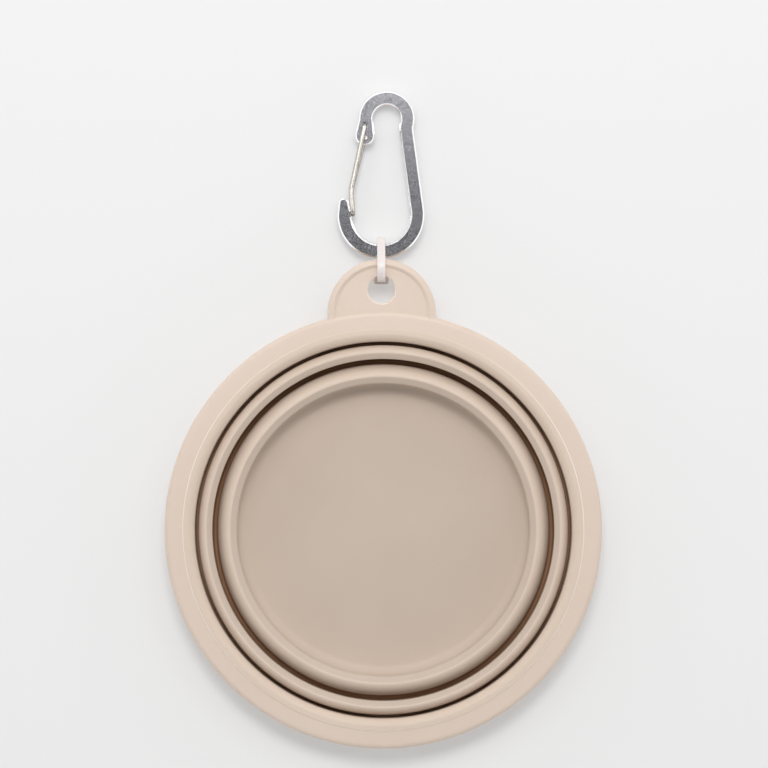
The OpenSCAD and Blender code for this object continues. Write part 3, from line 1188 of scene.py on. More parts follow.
@dataclass
class SoftBody:
    """The silicone body: an upper wall, two folding webs, a middle wall and a base cup.

    Attributes:
        wall: Thickness of the walls and webs.
        base: Thickness of the base.
        top: Height of the lip.
        lip: Outer radius of the lip.
        lip_edge: Radius of the lip's outer edge, which stands proud of the rim.
        roll: Height of the roll of the lip down into the wall.
        roll_power: Below 2, the roll is fuller at its middle and flatter at its ends.
        draft: How far the wall leans out from its foot to the roll.
        roll_start: Radius at which the roll starts.
        under_lip: Height of the lip's underside.
        flange: Inner radius, lower and upper height of the pocket for the rim's flange.
        under_fillet: Radius under the lip.
        valley: Radius and height of the centre of the upper valley, and its inner width.
        crest: Centre of the upper crest, and its width.
        low_valley: The same for the lower valley.
        low_crest: The same for the lower crest.
        base_edge: Radius of the outer edge of the base.
        base_fillet: Radius between the base and its wall.
        upper_drop: Height over which the upper web bends down from its crest.
        lower_drop: The same for the lower web.
        bend_power: Below 2, the crest is sharper and the web's flank straighter.
        slope: Slope of the upper and the lower crest towards the axis, in degrees.
        ridge: Radius of the ridge on top of a crest.
        slope_edge: Radius of the edge at the end of each slope, in the same order.
        slope_foot: Height of the first straight stretch below that edge.
        seam_step: Turn between a seam and the next point, in degrees.
        chord: Longest chord of the webs and the middle wall, of the upper wall and of the base.
    """

    wall: float = 1.4
    base: float = 2.0
    top: float = 12.8
    lip: float = 58.4
    lip_edge: float = 0.22
    roll: float = 2.6
    roll_power: float = 1.7
    draft: float = 0.2
    roll_start: float = 57.0
    under_lip: float = 9.8
    flange: Triple = (56.4, 10.6, 11.7)
    under_fillet: float = 1.0
    valley: Triple = (54.15, 2.15, 0.9)
    crest: Triple = (51.7, 9.3, 4.0)
    low_valley: Triple = (48.95, 2.55, 1.5)
    low_crest: Triple = (44.8, 9.0, 4.6)
    base_edge: float = 1.6
    base_fillet: float = 3.0
    upper_drop: float = 2.6
    lower_drop: float = 6.6
    bend_power: float = 1.7
    slope: Point = (35.0, 33.0)
    ridge: float = 1.0
    slope_edge: Point = (0.5, 1.3)
    slope_foot: float = 1.5
    seam_step: float = 0.8
    chord: Triple = (0.5, 1.0, 2.5)

    def web(self, valley: Triple, crest: Triple, drop: float) -> Outline:
        """Gives the section of a folding web, from the bottom of its valley to its crest.

        Args:
            valley: Radius, height and inner width of the valley.
            crest: Radius, height and width of the crest.
            drop: Height over which the web bends down from the crest.

        Returns:
            The closed section.
        """
        across = valley[0] - valley[2] / 2 - crest[0]
        foot = crest[1] + crest[2] / 2 - drop
        fuller = 2 / self.bend_power
        bend: Outline = []
        under: Outline = []
        for share in [i / 24 for i in range(24)] + [1 - self.seam_step / 90, 1.0]:
            x, y = math.cos(math.radians(90 * share)), math.sin(math.radians(90 * share))
            bend.append((crest[0] + across * x ** fuller, foot + drop * y ** fuller))
            square = Vector((drop * x, across * y)).normalized()
            skin = Vector((crest[0] + across * x, foot + drop * y))
            under.append(tuple(skin - square * self.wall))
        outer = self.trough(valley, 180) + bend
        inner = under[::-1] + self.trough(valley, 180, self.wall)[::-1]
        return refine(outer, self.chord[0]) + refine(inner, self.chord[0])

    def middle_wall(self) -> Outline:
        """Gives the section of the middle wall.

        Returns:
            The closed section.
        """
        valley, crest = self.low_valley, self.crest
        outer = self.trough(valley, 360) + self.shoulder(crest, self.slope[0], self.slope_edge[0])
        inner = self.with_seam(crest[:2], crest[2] / 2 - self.wall, 90, 180)
        inner += self.trough(valley, 360, self.wall)[::-1]
        return refine(outer, self.chord[0]) + refine(inner, self.chord[0])

    def shoulder(self, crest: Triple, slope: float, edge: float) -> Outline:
        """Gives the side of a crest that slopes towards the axis, from its wall up to its ridge.

        Args:
            crest: Radius, height and width of the crest.
            slope: The slope, in degrees.
            edge: Radius of the edge at the end of the slope.

        Returns:
            The line, which ends on top of the ridge.
        """
        face = crest[0] - crest[2] / 2
        middle = (crest[0], crest[1] + crest[2] / 2 - self.ridge)
        turn = arc(middle, self.ridge, 90 + slope, 90, 8)[:-1]
        edge_z = turn[0][1] - (turn[0][0] - face) * math.tan(math.radians(slope))
        foot = edge_z - self.slope_foot
        side = soften([(face, foot, 0.0), (face, edge_z, edge), (*turn[0], 0.0)], steps=8)
        return side + turn[1:] + arc(middle, self.ridge, 90 + self.seam_step, 90, 1)

    def with_seam(self, centre: Point, radius: float, start: float, end: float) -> Outline:
        """Gives an arc with a short first step, so that the shading meets that of the next piece.

        Args:
            centre: Centre of the arc.
            radius: Radius of the arc.
            start: Angle at the seam, in degrees.
            end: Last angle.

        Returns:
            The points, from the seam on.
        """
        step = math.copysign(self.seam_step, end - start)
        seam = arc(centre, radius, start, start, 1)[:1]
        return seam + arc(centre, radius, start + step, end, 18)

    def trough(self, valley: Triple, end: float, below: float = 0.0) -> Outline:
        """Gives half of a valley from the seam at its bottom, some way below its inner skin."""
        return self.with_seam(valley[:2], valley[2] / 2 + below, 270, end)

    def upper_wall(self) -> Outline:
        """Gives the section of the lip and the upper wall.

        Returns:
            The closed section.
        """
        inner = self.valley[0] + self.valley[2] / 2
        reach = self.roll_start - inner - self.draft
        flange_r, flange_low, flange_high = self.flange
        lines = self.trough(self.valley, 360)
        for x, y in arc((0.0, 0.0), 1.0, 180, 90, 26):
            stretch = (abs(x) ** self.roll_power + y ** self.roll_power) ** (-1 / self.roll_power)
            lines.append((self.roll_start + reach * x * stretch,
                          self.top - self.roll + self.roll * y * stretch))
        edge = (self.lip - self.lip_edge, self.top - self.lip_edge)
        lines += arc(edge, self.lip_edge, 90, 0, 5)
        lines += [(self.lip, flange_high), (flange_r, flange_high), (flange_r, flange_low),
                  (self.lip, flange_low), (self.lip, self.under_lip)]
        fillet = (inner + self.wall + self.under_fillet, self.under_lip - self.under_fillet)
        lines += arc(fillet, self.under_fillet, 90, 180, 10)
        inside = self.trough(self.valley, 360, self.wall)[::-1]
        return refine(lines, self.chord[1]) + inside

    def base_cup(self) -> Outline:
        """Gives the open section of the base and the lower wall.

        Returns:
            The section, from the axis below to the axis above.
        """
        crest_r, crest_z, width = self.low_crest
        inner = crest_r - width / 2
        edge = (inner + self.wall - self.base_edge, self.base_edge)
        fillet = (inner - self.base_fillet, self.base + self.base_fillet)
        lines = [(0.0, 0.0)] + arc(edge, self.base_edge, 270, 360, 12)
        lines += self.with_seam((crest_r, crest_z), width / 2 - self.wall, 90, 180)[::-1]
        lines += self.shoulder(self.low_crest, self.slope[1], self.slope_edge[1])[::-1]
        lines += arc(fillet, self.base_fillet, 360, 270, 12)
        return refine(lines + [(0.0, self.base)], self.chord[2])

    def build(self, shop: Workshop, palette: Palette) -> None:
        """Builds the five pieces, and sets the three walls on their bodies.

        Args:
            shop: The trees.
            palette: The finishes.
        """
        walls = (("silicone_upper_wall", "upper_wall", self.upper_wall(), True, Body.RIM),
                 ("silicone_middle_wall", "middle_wall", self.middle_wall(), True, Body.MIDDLE),
                 ("silicone_base", "base_cup", self.base_cup(), False, Body.BASE))
        for name, node, section, closed, body in walls:
            mesh = shop.turned(node, section, palette.silicone, closed)
            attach(finish_piece(name, mesh, node), body.value)
        webs = (("upper_fold", self.valley, self.crest, self.upper_drop, Body.RIM, Body.MIDDLE),
                ("lower_fold", self.low_valley, self.low_crest, self.lower_drop, Body.MIDDLE,
                 Body.BASE))
        for node, valley, crest, drop, outer_body, inner_body in webs:
            mesh = shop.turned(node, self.web(valley, crest, drop), palette.silicone)
            web = finish_piece("silicone_" + node, mesh, node)
            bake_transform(web)


@dataclass
class RimFrame:
    """The hard rim with its tab and hole.

    Attributes:
        outer: Outer radius of the ring.
        inner: Inner radius of the ring.
        low: Height of its underside.
        band_top: Height of its upper face at the lip.
        edge_top: Height of its upper face at the outer edge.
        edge: Radius of the upper outer edge.
        foot: Radius of the lower outer edge.
        flange: Inner radius, lower and upper height of the hidden flange.
        flange_edge: Radius of the flange's edges.
        tab_reach: Distance of the tab's tip from the bowl's axis.
        tab_r: Radius of the tab.
        plate: Thickness of the tab's plate.
        border: Thickness of the tab's raised border.
        border_drop: How far the border falls from its crest to its outer side.
        border_edges: Radius of the tab's lower edge, the border's outer edge, crest and foot.
        crest_inset: How far inside the outline the border is highest.
        border_w: Width of the border.
        hole_r: Radius of the hole.
        hole_margin: Width of the tab beyond the hole.
        hole_bevel: Width of the soft mouths of the hole.
        hole_edges: Radius of the hole's edges: below, at the wall's two ends and above.
        root: Distance from the axis to which the tab's sides run on under the ring.
        core_r: Radius of the core that cuts the tab off inside the ring.
        core_z: Lower and upper height of that core.
        segments: Steps of the ring's turn and of the core's.
    """

    outer: float = 63.5
    inner: float = SoftBody.lip
    low: float = SoftBody.under_lip
    band_top: float = 12.58
    edge_top: float = 12.5
    edge: float = 1.2
    foot: float = 0.8
    flange: Triple = SoftBody.flange
    flange_edge: float = 0.15
    tab_reach: float = 78.7
    tab_r: float = 15.7
    plate: float = 2.1
    border: float = 2.8
    border_drop: float = 0.55
    border_edges: tuple[float, ...] = (0.45, 0.5, 0.75, 0.3)
    crest_inset: float = 1.55
    border_w: float = 2.45
    hole_r: float = 3.9
    hole_margin: float = 5.0
    hole_bevel: float = 0.4
    hole_edges: Triple = (0.1, 0.3, 0.35)
    root: float = 48.5
    core_r: float = 60.4
    core_z: Point = (7.8, 14.8)
    segments: tuple[int, int] = (320, 160)

    def ring_section(self) -> Outline:
        """Gives the closed section of the ring.

        Returns:
            The section.
        """
        flange_r, flange_low, flange_high = self.flange
        corners = [(self.inner, self.band_top, 0.0), (self.outer, self.edge_top, self.edge),
                   (self.outer, self.low, self.foot), (self.inner, self.low, 0.0),
                   (self.inner, flange_low, 0.0), (flange_r, flange_low, self.flange_edge),
                   (flange_r, flange_high, self.flange_edge), (self.inner, flange_high, 0.0)]
        return refine(soften(corners, closed=True, steps=10), 0.8, closed=True)

    def tab(self) -> Slab:
        """Gives the tab: a plate with a raised border and a hole with soft mouths.

        Returns:
            The tab.
        """
        head = arc((0.0, self.tab_reach - self.tab_r), self.tab_r, 0, 180, 96)
        sides = [(-self.tab_r, self.root), (self.tab_r, self.root)]
        outline = refine(head + sides, 1.2, closed=True)
        low, top, plate = self.low, self.low + self.border, self.low + self.plate
        lower, side, crest, foot = self.border_edges
        section = soften([
            (0.7, low, 0.0), (0.0, low, lower), (0.0, top - self.border_drop, side),
            (self.crest_inset, top, crest), (self.border_w, plate, foot),
            (self.border_w + 0.7, plate, 0.0)], steps=7)
        section.append((self.border_w + 0.8, plate))
        mouth = self.hole_bevel
        below, inside, above = self.hole_edges
        wall = soften([
            (mouth + 0.15, low, 0.0), (mouth, low, below), (0.0, low + mouth, inside),
            (0.0, plate - mouth, inside), (mouth, plate, above),
            (mouth + 0.45, plate, 0.0)], steps=6)
        hole_y = self.tab_reach - self.hole_margin - self.hole_r
        ring = arc((0.0, hole_y), self.hole_r, 0, 360, 64)[:-1]
        return Slab(outline, section, (Hole(ring, wall),))

    def build(self, shop: Workshop, palette: Palette) -> None:
        """Builds the frame and sets it on the rim's body.

        Args:
            shop: The trees.
            palette: The finishes.
        """
        ring = shop.turned(
            "rim_ring", self.ring_section(), palette.rim, segments=self.segments[0])
        low, high = self.core_z
        block = [(0.0, low), (self.core_r, low), (self.core_r, high), (0.0, high)]
        core = shop.turned(
            "rim_core", block, palette.rim, closed=False, segments=self.segments[1])
        tab = combined("rim_tab", self.tab().mesh("rim_tab"), core, Joining.DIFFERENCE)
        whole = combined("rim_frame_mesh", ring, tab, Joining.UNION)
        whole.materials.clear()
        whole.materials.append(palette.rim)
        clean(whole, sharp_angle=34.0, merge=2e-6)
        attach(finish_piece("rim_with_tab", whole, "rim_frame"), Body.RIM.value)


# The tie


@dataclass
class CableTie:
    """The nylon tie, closed to a loop round the tab and the carabiner.

    Attributes:
        grip: Centre of the bend round the tab's margin, as (y, z).
        slope: Slope of the loop down to the carabiner, in degrees.
        loop_l: Distance between the centres of the two bends.
        loop_r: Inner radius of the bends.
        strap_w: Width of the strap.
        strap_t: Thickness of the strap.
        strap_edge: Radius of its edges.
        head_w: Width of the head.
        head_l: Length of the head.
        head_h: Height of the head, with the cut end of the strap.
        head_edges: Radius of the head's upright, upper and lower edges.
        slot: Half the length of the slot, the strap's play in it, and the radius of its corners.
        end: From where to where along the slot the cut end lies, and the radius of its corners.
        end_h: How far that end stands out of the head.
        tooth: Height, width and length of a ratchet tooth.
        pitch: Distance from tooth to tooth.
    """

    grip: Point = (76.2, 11.2)
    slope: float = 55.2
    loop_l: float = 8.40286
    loop_r: float = 3.1
    strap_w: float = 2.4
    strap_t: float = 1.1
    strap_edge: float = 0.28
    head_w: float = 4.6
    head_l: float = 5.2
    head_h: float = 4.2
    head_edges: Triple = (0.9, 0.3, 0.4)
    slot: Triple = (0.8, 0.15, 0.2)
    end: Triple = (-0.5, 0.45, 0.25)
    end_h: float = 0.25
    tooth: Triple = (0.16, 1.5, 0.32)
    pitch: float = 0.6

    def place(self) -> Matrix:
        """Gives the frame of the loop.

        Returns:
            X runs along it towards the carabiner, Y to its upper side, Z across.
        """
        down = math.radians(self.slope)
        along = Vector((0.0, math.cos(down), -math.sin(down)))
        up = Vector((0.0, math.sin(down), math.cos(down)))
        turned = Matrix((along, up, along.cross(up))).transposed().to_4x4()
        return Matrix.Translation(Vector((0.0, *self.grip)) * MM) @ turned

    def middle_line(self) -> Outline:
        """Gives the closed middle line of the strap.

        Returns:
            The line, counter-clockwise.
        """
        radius = self.loop_r + self.strap_t / 2
        near = arc((0.0, 0.0), radius, 90, 270, 24)
        return refine(near + arc((self.loop_l, 0.0), radius, 270, 450, 24), 0.7, closed=True)

    def strap(self) -> Mesh:
        """Builds the strap: a softly edged band round the loop.

        Returns:
            The closed mesh.
        """
        half_w, half_t = self.strap_w / 2, self.strap_t / 2
        section = rectangle((-half_t, -half_w), (half_t, half_w), self.strap_edge, 4)
        middle = self.middle_line()
        beside = inset(middle, -1.0)
        points = [(x + (nx - x) * s, y + (ny - y) * s, w)
                  for s, w in section for (x, y), (nx, ny) in zip(middle, beside)]
        count, faces = len(middle), []
        for row, after in chain(len(section)):
            shift = (after - row) * count
            faces += [(a, b, b + shift, a + shift) for a, b in chain(count, first=row * count)]
        mesh = mesh_of("tie_strap", points, faces)
        clean(mesh)
        return mesh

    def head(self) -> Mesh:
        """Builds the head: a softly edged block with a slot, and the cut end of the strap in it.

        Returns:
            The closed meshes, in one.
        """
        half_l, half_w, end_w = self.head_l / 2, self.head_w / 2, self.strap_w / 2
        low, high = self.loop_r, self.loop_r + self.head_h - self.end_h
        upright, upper, lower = self.head_edges
        outline = rectangle((-half_l, -half_w), (half_l, half_w), upright, 5)
        slot_l, play, corner = self.slot
        slot = rectangle((-slot_l, -end_w - play), (slot_l, end_w + play), corner, 3)
        edge = soften([(0.5, low, 0.0), (0.0, low, upper), (0.0, high, lower), (0.5, high, 0.0)])
        wall = [(0.08, low), (0.0, low + 0.08), (0.0, high - 0.12), (0.04, high - 0.04),
                (0.12, high)]
        hole = Hole(refine(slot, 0.5, closed=True), wall)
        block = Slab(refine(outline, 0.8, closed=True), edge, (hole,)).mesh("tie_head")
        tip = high + self.end_h
        cut = [(0.1, low + 0.2), (0.0, low + 0.3), (0.0, tip - 0.08), (0.08, tip), (0.16, tip)]
        near, far, corner = self.end
        end = Slab(rectangle((near, -end_w), (far, end_w), corner, 3), cut).mesh("tie_end")
        both = joined("tie_head_mesh", [block, end])
        under = Matrix.Translation(Vector((self.loop_l / 2, 0.0, 0.0)) * MM)
        both.transform(under @ Matrix.Rotation(math.pi / 2, 4, "X"))
        return both

    def teeth(self, shop: Workshop, palette: Palette) -> Mesh:
        """Sets the ratchet teeth along the inner side of the strap's upper run.

        Args:
            shop: The trees.
            palette: The finishes.

        Returns:
            The closed meshes, in one.
        """
        height, width, length = self.tooth
        level = self.loop_r - height / 2 + 0.05
        line = [(self.loop_l * i / 20, level, 0.0) for i in range(21)]
        start = mesh_of("tooth_line", line, [], chain(len(line), closed=False))
        return shop.run("tie_teeth", start, shop.teeth, {
            "Pitch": self.pitch * MM, "Tooth Height": height * MM, "Tooth Width": width * MM,
            "Tooth Length": length * MM, "Finish": palette.nylon})

    def build(self, shop: Workshop, palette: Palette) -> None:
        """Builds the tie and sets it on its body.

        Args:
            shop: The trees.
            palette: The finishes.
        """
        mesh = joined("cable_tie_mesh", [self.strap(), self.head(), self.teeth(shop, palette)])
        mesh.transform(self.place())
        mesh.materials.append(palette.nylon)
        for face in mesh.polygons:
            face.material_index = 0
        clean(mesh, sharp_angle=34.0)
        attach(finish_piece("nylon_tie", mesh, "cable_tie"), Body.TIE.value)


# The carabiner


@dataclass
class Carabiner:
    """The flat bar of the carabiner and its wire gate, drawn round the centre of the lower bend.

    Attributes:
        link: Middle of the bar where it hangs in the tie, as (y, z).
        lean: How far the carabiner leans where it lies, in degrees.
        bar_w: Width of the bar.
        bar_t: Thickness of the bar.
        bevel: Width of the bevel.
        bevel_drop: Height of the bevel.
        bevel_edge: Radius of the bevel's two edges.
        belly_r: Radius of the lower bend, at the bar's middle line like the next ones.
        back_lean: Slope of the straight back, in degrees.
        back_l: Length of the back.
        waist_r: Radius of the turn between the back and the narrow bend.
        waist_turn: How far that turn goes, in degrees.
        crown_r: Radius of the narrow bend.
        nose: Centre of the nose's round end.
        nose_r: Radius of that end.
        lobe: Centre of the round end at the gate's pegs.
        lobe_r: Radius of that end.
        upper_pivot: Place of the gate's upper peg.
        lower_pivot: Place of the gate's lower peg.
        pivot_r: Radius of the bore for the upper peg.
        peg_hole_r: Radius of the bore for the lower peg.
        notch_r: Radius of the notch in the nose, and half the width of the lower peg's slot.
        cross: Place of the gate's cross bar.
        kink: Corner at which a leg of the gate bends.
        kink_r: Radius of that bend.
        wire_r: Radius of the wire.
        leg_z: Height of a leg's middle line over the middle of the bar.
        cross_bend: Radius between the cross bar and a leg.
        peg_bend: Radius between a leg and its peg.
        peg_l: Length of a peg beyond that bend.
        swing: How far the gate opens, in degrees.
        round_steps: Chords in a bore.
        flat_normal: How far a face at least turns up or down to be one of the brushed faces.
    """

    link: Point = (80.99562, 4.3)
    lean: float = 1.1789429
    bar_w: float = 4.06
    bar_t: float = 4.0
    bevel: float = 0.45
    bevel_drop: float = 0.42
    bevel_edge: float = 0.08
    belly_r: float = 10.65
    back_lean: float = 7.2
    back_l: float = 23.2
    waist_r: float = 5.4
    waist_turn: float = 21.9
    crown_r: float = 6.1
    nose: Point = (-10.85, 3.6)
    nose_r: float = 1.4
    lobe: Point = (-4.50787, 23.0989)
    lobe_r: float = 2.83
    upper_pivot: Point = (-4.50787, 26.0469)
    lower_pivot: Point = (-4.50787, 22.6969)
    pivot_r: float = 0.95
    peg_hole_r: float = 0.98
    notch_r: float = 0.825
    cross: Point = (-8.195, 0.3)
    kink: Point = (-8.595, 7.5)
    kink_r: float = 4.0
    wire_r: float = 0.675
    leg_z: float = 2.825
    cross_bend: float = 1.2
    peg_bend: float = 0.825
    peg_l: float = 1.7
    swing: float = 25.0
    round_steps: int = 48
    flat_normal: float = 0.985

    def place(self) -> Matrix:
        """Gives the place of the carabiner, which leans a little where it lies.

        Returns:
            The matrix that takes the drawing to its place on the bowl.
        """
        hung = Matrix.Translation(Vector((0.0, *self.link)) * MM)
        leaning = Matrix.Rotation(math.radians(-self.lean), 4, "X")
        return hung @ leaning @ Matrix.Translation(Vector((0.0, self.belly_r, 0.0)) * MM)

    @staticmethod
    def beyond(start: Point, reach: float, turn: float) -> Point:
        """Gives the point at a distance and a direction, in degrees, from another."""
        angle = math.radians(turn)
        return start[0] + reach * math.cos(angle), start[1] + reach * math.sin(angle)

    def side(self, offset: float) -> Outline:
        """Gives one side of the bar.

        Args:
            offset: How far outward from the bar's middle line it runs.

        Returns:
            The line, from the nose to the gate's pegs.
        """
        lean, start = self.back_lean, self.back_lean - self.waist_turn
        back = self.beyond(self.beyond((0.0, 0.0), self.belly_r, lean), self.back_l, 90 + lean)
        waist = self.beyond(back, self.waist_r, lean)
        crown = self.beyond(waist, -self.waist_r - self.crown_r, start)
        line = arc((0.0, 0.0), self.belly_r + offset, 180, 360 + lean, 110)
        line += arc(waist, self.waist_r - offset, 180 + lean, 180 + start, 16)
        return line + arc(crown, self.crown_r + offset, start, 180, 72)

    @staticmethod
    def rounded_end(start: Point, end: Point, centre: Point, radius: float) -> Outline:
        """Gives the round end that two sides run on to.

        Args:
            start: Last point of the first side.
            end: First point of the second side.
            centre: Centre of the round end.
            radius: Its radius.

        Returns:
            The arc between the points where lines from the sides touch it.
        """
        first = heading(centre, start) + math.degrees(math.acos(radius / math.dist(centre, start)))
        last = heading(centre, end) - math.degrees(math.acos(radius / math.dist(centre, end)))
        return arc(centre, radius, first, first + (last - first) % 360, 40)

    def outline(self) -> Outline:
        """Gives the outline of the bar with the notch for the gate's cross bar.

        Returns:
            The outline, counter-clockwise.
        """
        outer = self.side(self.bar_w / 2)
        inner = self.side(-self.bar_w / 2)[::-1]
        crown_end = self.rounded_end(outer[-1], inner[0], self.lobe, self.lobe_r)
        nose_end = self.rounded_end(inner[-1], outer[0], self.nose, self.nose_r)
        whole = refine(outer + crown_end + inner + nose_end, 0.35, closed=True)
        inside = [math.dist(p, self.cross) < self.notch_r for p in whole]
        first = next(i for i, cut in enumerate(inside) if cut and not inside[i - 1])
        kept = whole[first + sum(inside):] + whole[:first]
        start, end = heading(self.cross, kept[-1]), heading(self.cross, kept[0])
        return kept + arc(self.cross, self.notch_r, start, start - (start - end) % 360, 20)[1:-1]

    def frame_mesh(self, palette: Palette) -> Mesh:
        """Builds the bevelled bar with its notch, its pivot bores and the lower peg's slot.

        Args:
            palette: The finishes.

        Returns:
            The closed mesh, in its place.
        """
        half = self.bar_t / 2
        foot, edge = half - self.bevel_drop, self.bevel_edge
        rows = soften([(0.0, foot - 0.3, 0.0), (0.0, foot, edge), (self.bevel, half, edge),
                       (self.bevel + 0.3, half, 0.0)], steps=4)[1:-1]
        rows.append((rows[-1][0] + 0.06, half))
        bar = BevelledBar(self.outline(), rows).mesh("carabiner_bar")
        for cutter in self.cutters():
            bar = combined("carabiner_bar", bar, cutter, Joining.DIFFERENCE)
        clean(bar, sharp_angle=30.0, merge=1e-6)
        bar.materials.clear()
        for finish in (palette.face, palette.bevel, palette.bore):
            bar.materials.append(finish)
        face_index, bevel_index, bore_shade_index = range(3)
        drilled = self.peg_hole_r + 0.05
        for face in bar.polygons:
            spot = face.center.xy / MM
            bored = any(math.dist(spot, pivot) < drilled
                        for pivot in (self.upper_pivot, self.lower_pivot))
            # Faces in the bores get the near-black painted shade.
            side_index = bore_shade_index if bored else bevel_index
            flat = abs(face.normal.z) > self.flat_normal
            face.material_index = face_index if flat else side_index
        bar.transform(self.place())
        return bar

    def cutters(self) -> list[Mesh]:
        """Gives the tools that cut the bores and the slot.

        Returns:
            The closed meshes.
        """
        high = [(0.0, -self.bar_t), (0.0, self.bar_t)]
        bores = [Slab(arc(pivot, radius, 0, 360, self.round_steps)[:-1], high).mesh("bore")
                 for pivot, radius in ((self.upper_pivot, self.pivot_r),
                                       (self.lower_pivot, self.peg_hole_r))]
        reach, last = self.upper_pivot[1] - self.lower_pivot[1], 270 + self.swing
        far = arc(self.upper_pivot, reach + self.notch_r, 270, last, 12)
        near = arc(self.upper_pivot, reach - self.notch_r, last, 270, 12)
        end = self.beyond(self.upper_pivot, reach, last)
        cap = arc(end, self.notch_r, last, last + 180, 16)[1:-1]
        back = arc(self.lower_pivot, self.notch_r, 90, 270, 16)[1:-1]
        low = [(0.0, -self.bar_t), (0.0, 0.0)]
        return bores + [Slab(far + cap + near + back, low).mesh("peg_slot")]

    def leg_path(self, pivot: Point) -> list[Triple]:
        """Gives half of the wire.

        Args:
            pivot: Place of its peg.

        Returns:
            The line from the middle of the cross bar to the end of the peg.
        """
        start, corner, top = Vector(self.cross), Vector(self.kink), Vector(pivot)
        low, high = heading(self.cross, self.kink), heading(self.kink, pivot)
        up = Vector(self.beyond((0.0, 0.0), 1.0, low))
        onward = (top - corner).normalized()
        leg, rest = math.dist(self.cross, self.kink), math.dist(corner, top)
        cut = self.kink_r * math.tan(math.radians(abs(low - high)) / 2)
        line: list[Triple] = [(*start, z) for z in (0.15, 0.8)]
        lower = (self.cross_bend, self.leg_z - self.cross_bend)
        line += [(*(start + up * along), z)
                 for along, z in arc(lower, self.cross_bend, 180, 90, 10)]
        line += [(*(start + up * (leg - cut) * share), self.leg_z) for share in (0.4, 0.6, 0.8)]
        bend = soften([(*start, 0.0), (*corner, self.kink_r), (*top, 0.0)], steps=12)[1:-1]
        line += [(*spot, self.leg_z) for spot in bend]
        straight = rest - cut - self.peg_bend
        line += [(*(corner + onward * (cut + straight * share)), self.leg_z)
                 for share in (0.2, 0.4, 0.6, 0.8)]
        upper = (rest - self.peg_bend, self.leg_z - self.peg_bend)
        line += [(*(corner + onward * along), z)
                 for along, z in arc(upper, self.peg_bend, 90, 0, 10)]
        return line + [(*top, self.leg_z - self.peg_bend - self.peg_l)]

    def gate_mesh(self, shop: Workshop, palette: Palette) -> Mesh:
        """Builds the wire gate: from the upper peg down the front, across and up the rear.

        Args:
            shop: The trees.
            palette: The finishes.

        Returns:
            The closed mesh, in its place.
        """
        rear = [(x, y, -z) for x, y, z in self.leg_path(self.lower_pivot)]
        path = self.leg_path(self.upper_pivot)[::-1] + rear
        start = mesh_of("gate_path", path, [], chain(len(path), closed=False))
        wire = shop.run("gate_wire", start, shop.wire, {
            "Wire Radius": self.wire_r * MM, "Sides": 28, "Finish": palette.steel})
        clean(wire, sharp_angle=40.0)
        keep_facing(wire)
        wire.transform(self.place())
        return wire

    def build(self, shop: Workshop, palette: Palette) -> None:
        """Builds the bar and its gate and sets them on their bodies.

        Args:
            shop: The trees.
            palette: The finishes.
        """
        bar = finish_piece("carabiner_bar", self.frame_mesh(palette), "carabiner_frame")
        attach(bar, Body.CARABINER.value)
        gate = finish_piece(
            "carabiner_gate", self.gate_mesh(shop, palette), "wire_gate")
        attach(gate, Body.GATE.value)


# The studio


@dataclass(frozen=True)
class Softbox:
    """A soft lamp.

    Attributes:
        place: Where it hangs, in metres.
        aim: Where it points, in metres.
        size: Its two sides, in metres.
        power: Its power, in watts.
    """

    place: Triple
    aim: Triple
    size: Point
    power: float

    def hang(self) -> None:
        """Adds the lamp."""
        light = bpy.data.lights.new("softbox", "AREA")
        light.shape = "RECTANGLE"
        light.size, light.size_y = self.size
        light.energy = self.power
        lamp = bpy.data.objects.new("softbox", light)
        lamp.location = self.place
        aim = Vector(self.aim) - Vector(self.place)
        lamp.rotation_euler = aim.to_track_quat("-Z", "Y").to_euler()
        bpy.context.scene.collection.objects.link(lamp)


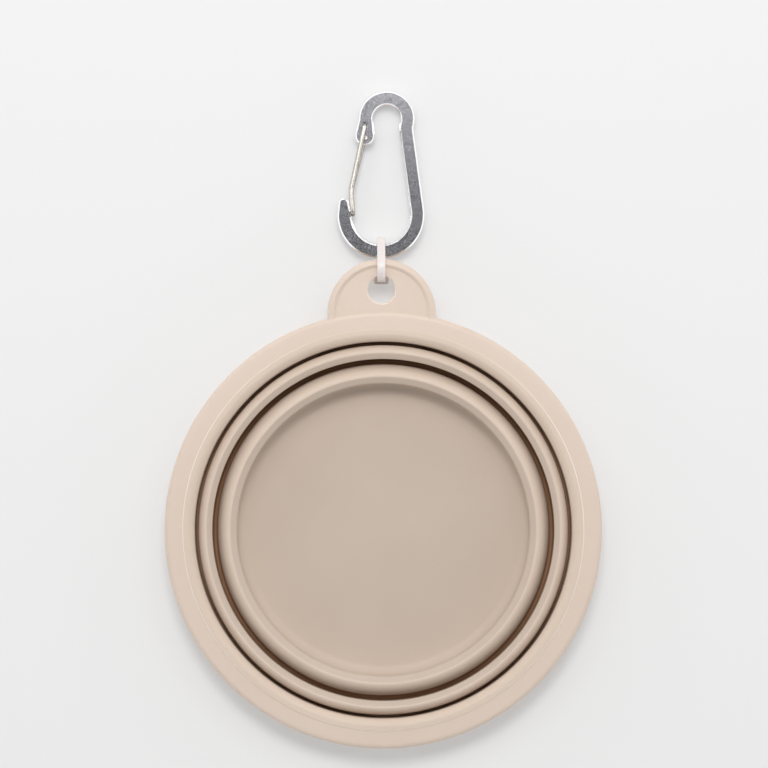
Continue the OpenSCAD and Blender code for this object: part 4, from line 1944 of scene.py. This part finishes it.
@dataclass
class Studio:
    """The pale floor, the soft light and the camera straight above.

    Attributes:
        frame_w: Width of the picture at the height of the rim.
        distance: Height of the camera over the rim.
        centre: Middle of the picture.
        rim_top: Height of the rim.
        roll: How far the camera is turned, in degrees.
        floor_half: Half the width of the floor.
        floor_z: Height of the floor.
        floor_tone: Darkest and lightest tone of the floor.
        floor_glow: Strength of the floor's own light.
        sky_low: Where the sky low down starts and is brightest, as a height from -1 to 1.
        sky_low_level: Its strength there.
        sky_high: Where the sky overhead starts and is brightest.
        sky_high_level: Its strength there.
        patch: Middle of the dark patch overhead.
        patch_edge: Its inner and outer radius.
        patch_level: What is left of the sky inside it, and outside.
        lamps: The lamps: high up, over the far side of the tab, and one on each side.
    """

    frame_w: float = 223.0
    distance: float = 3000.0
    centre: Point = (0.52, 42.42)
    rim_top: float = SoftBody.top
    roll: float = 0.43
    floor_half: float = 3000.0
    floor_z: float = -0.02
    floor_tone: Point = (0.52, 0.53)
    floor_glow: float = 0.3
    sky_low: Point = (0.5, 0.3)
    sky_low_level: Point = (0.0, 1.0)
    sky_high: Point = (0.6, 0.9)
    sky_high_level: Point = (0.2, 0.35)
    patch: Triple = (0.0, -0.05, 1.0)
    patch_edge: Point = (0.1, 0.38)
    patch_level: Point = (0.03, 1.0)
    lamps: tuple[Softbox, ...] = (
        Softbox((0.0, 1.0, 2.6), (0.0, 0.04, 0.0), (0.8, 0.8), 30.5),
        Softbox((0.0, 0.43, 0.6), (0.0, 0.43, 0.0), (1.0, 0.52), 2.2),
        Softbox((-1.2, 0.1, 0.9), (0.0, 0.04, 0.0), (0.15, 1.2), 1.2),
        Softbox((1.2, 0.1, 0.9), (0.0, 0.04, 0.0), (0.15, 1.2), 1.2))

    def build(self) -> None:
        """Sets the stage."""
        self.floor()
        self.sky()
        for lamp in self.lamps:
            lamp.hang()
        self.camera()

    def floor(self) -> None:
        """Lays the floor just under the bowl."""
        half = self.floor_half
        corners = ((-half, -half), (half, -half), (half, half), (-half, half))
        mesh = mesh_of("floor", [(*corner, self.floor_z) for corner in corners], [(0, 1, 2, 3)])
        material = bpy.data.materials.new("floor_paper")
        material.use_nodes = True
        shader = material.node_tree.nodes["Principled BSDF"].inputs
        bench = NodeBench(material.node_tree)
        fibre = bench.noise(bench.add("ShaderNodeTexCoord").outputs["Object"], 900.0)
        tone = bench.span(fibre, (0.0, 1.0), self.floor_tone)
        bench.tree.links.new(tone, shader["Base Color"])
        shader["Roughness"].default_value = 0.9
        shader["Specular IOR Level"].default_value = 0.1
        shader["Emission Color"].default_value = opaque((1.0, 1.0, 1.0))
        shader["Emission Strength"].default_value = self.floor_glow
        mesh.materials.append(material)
        add_object("floor", mesh)

    def sky(self) -> None:
        """Lights the room: bright low down, greyer overhead, with a dark patch in the middle."""
        world = bpy.data.worlds.new("studio")
        bpy.context.scene.world = world
        world.use_nodes = True
        bench = NodeBench(world.node_tree)
        ground = world.node_tree.nodes["Background"].inputs
        place = bench.add("ShaderNodeTexCoord").outputs["Generated"]
        height = bench.add("ShaderNodeSeparateXYZ", {"Vector": place}).outputs["Z"]
        away = bench.vector("DISTANCE", place, self.patch)["Value"]
        low, high, patch = (
            bench.span(value, source, target, Course.SMOOTH) for value, source, target in (
                (height, self.sky_low, self.sky_low_level),
                (height, self.sky_high, self.sky_high_level),
                (away, self.patch_edge, self.patch_level)))
        level = bench.math("MULTIPLY", bench.math("ADD", low, high), patch)
        bench.tree.links.new(level, ground["Strength"])
        ground["Color"].default_value = opaque((1.0, 1.0, 1.0))

    def camera(self) -> None:
        """Hangs the camera straight above, turned a little as in the photograph."""
        data = bpy.data.cameras.new("camera")
        data.sensor_width = 36.0
        data.lens = data.sensor_width * self.distance / self.frame_w
        data.clip_start, data.clip_end = 0.05, 20.0
        camera = bpy.data.objects.new("camera", data)
        camera.location = [c * MM for c in (*self.centre, self.rim_top + self.distance)]
        camera.rotation_euler = (0.0, 0.0, math.radians(-self.roll))
        bpy.context.scene.collection.objects.link(camera)
        bpy.context.scene.camera = camera
        bpy.context.scene.view_settings.view_transform = "Standard"


def main() -> None:
    """Builds the bowl, its tie and its carabiner on the stage."""
    logging.basicConfig(level=logging.INFO, format="%(name)s: %(message)s")
    shop = Workshop()
    palette = Palette()
    for piece in (SoftBody(), RimFrame(), CableTie(), Carabiner()):
        piece.build(shop, palette)
    Studio().build()


if __name__ == "__main__":
    main()
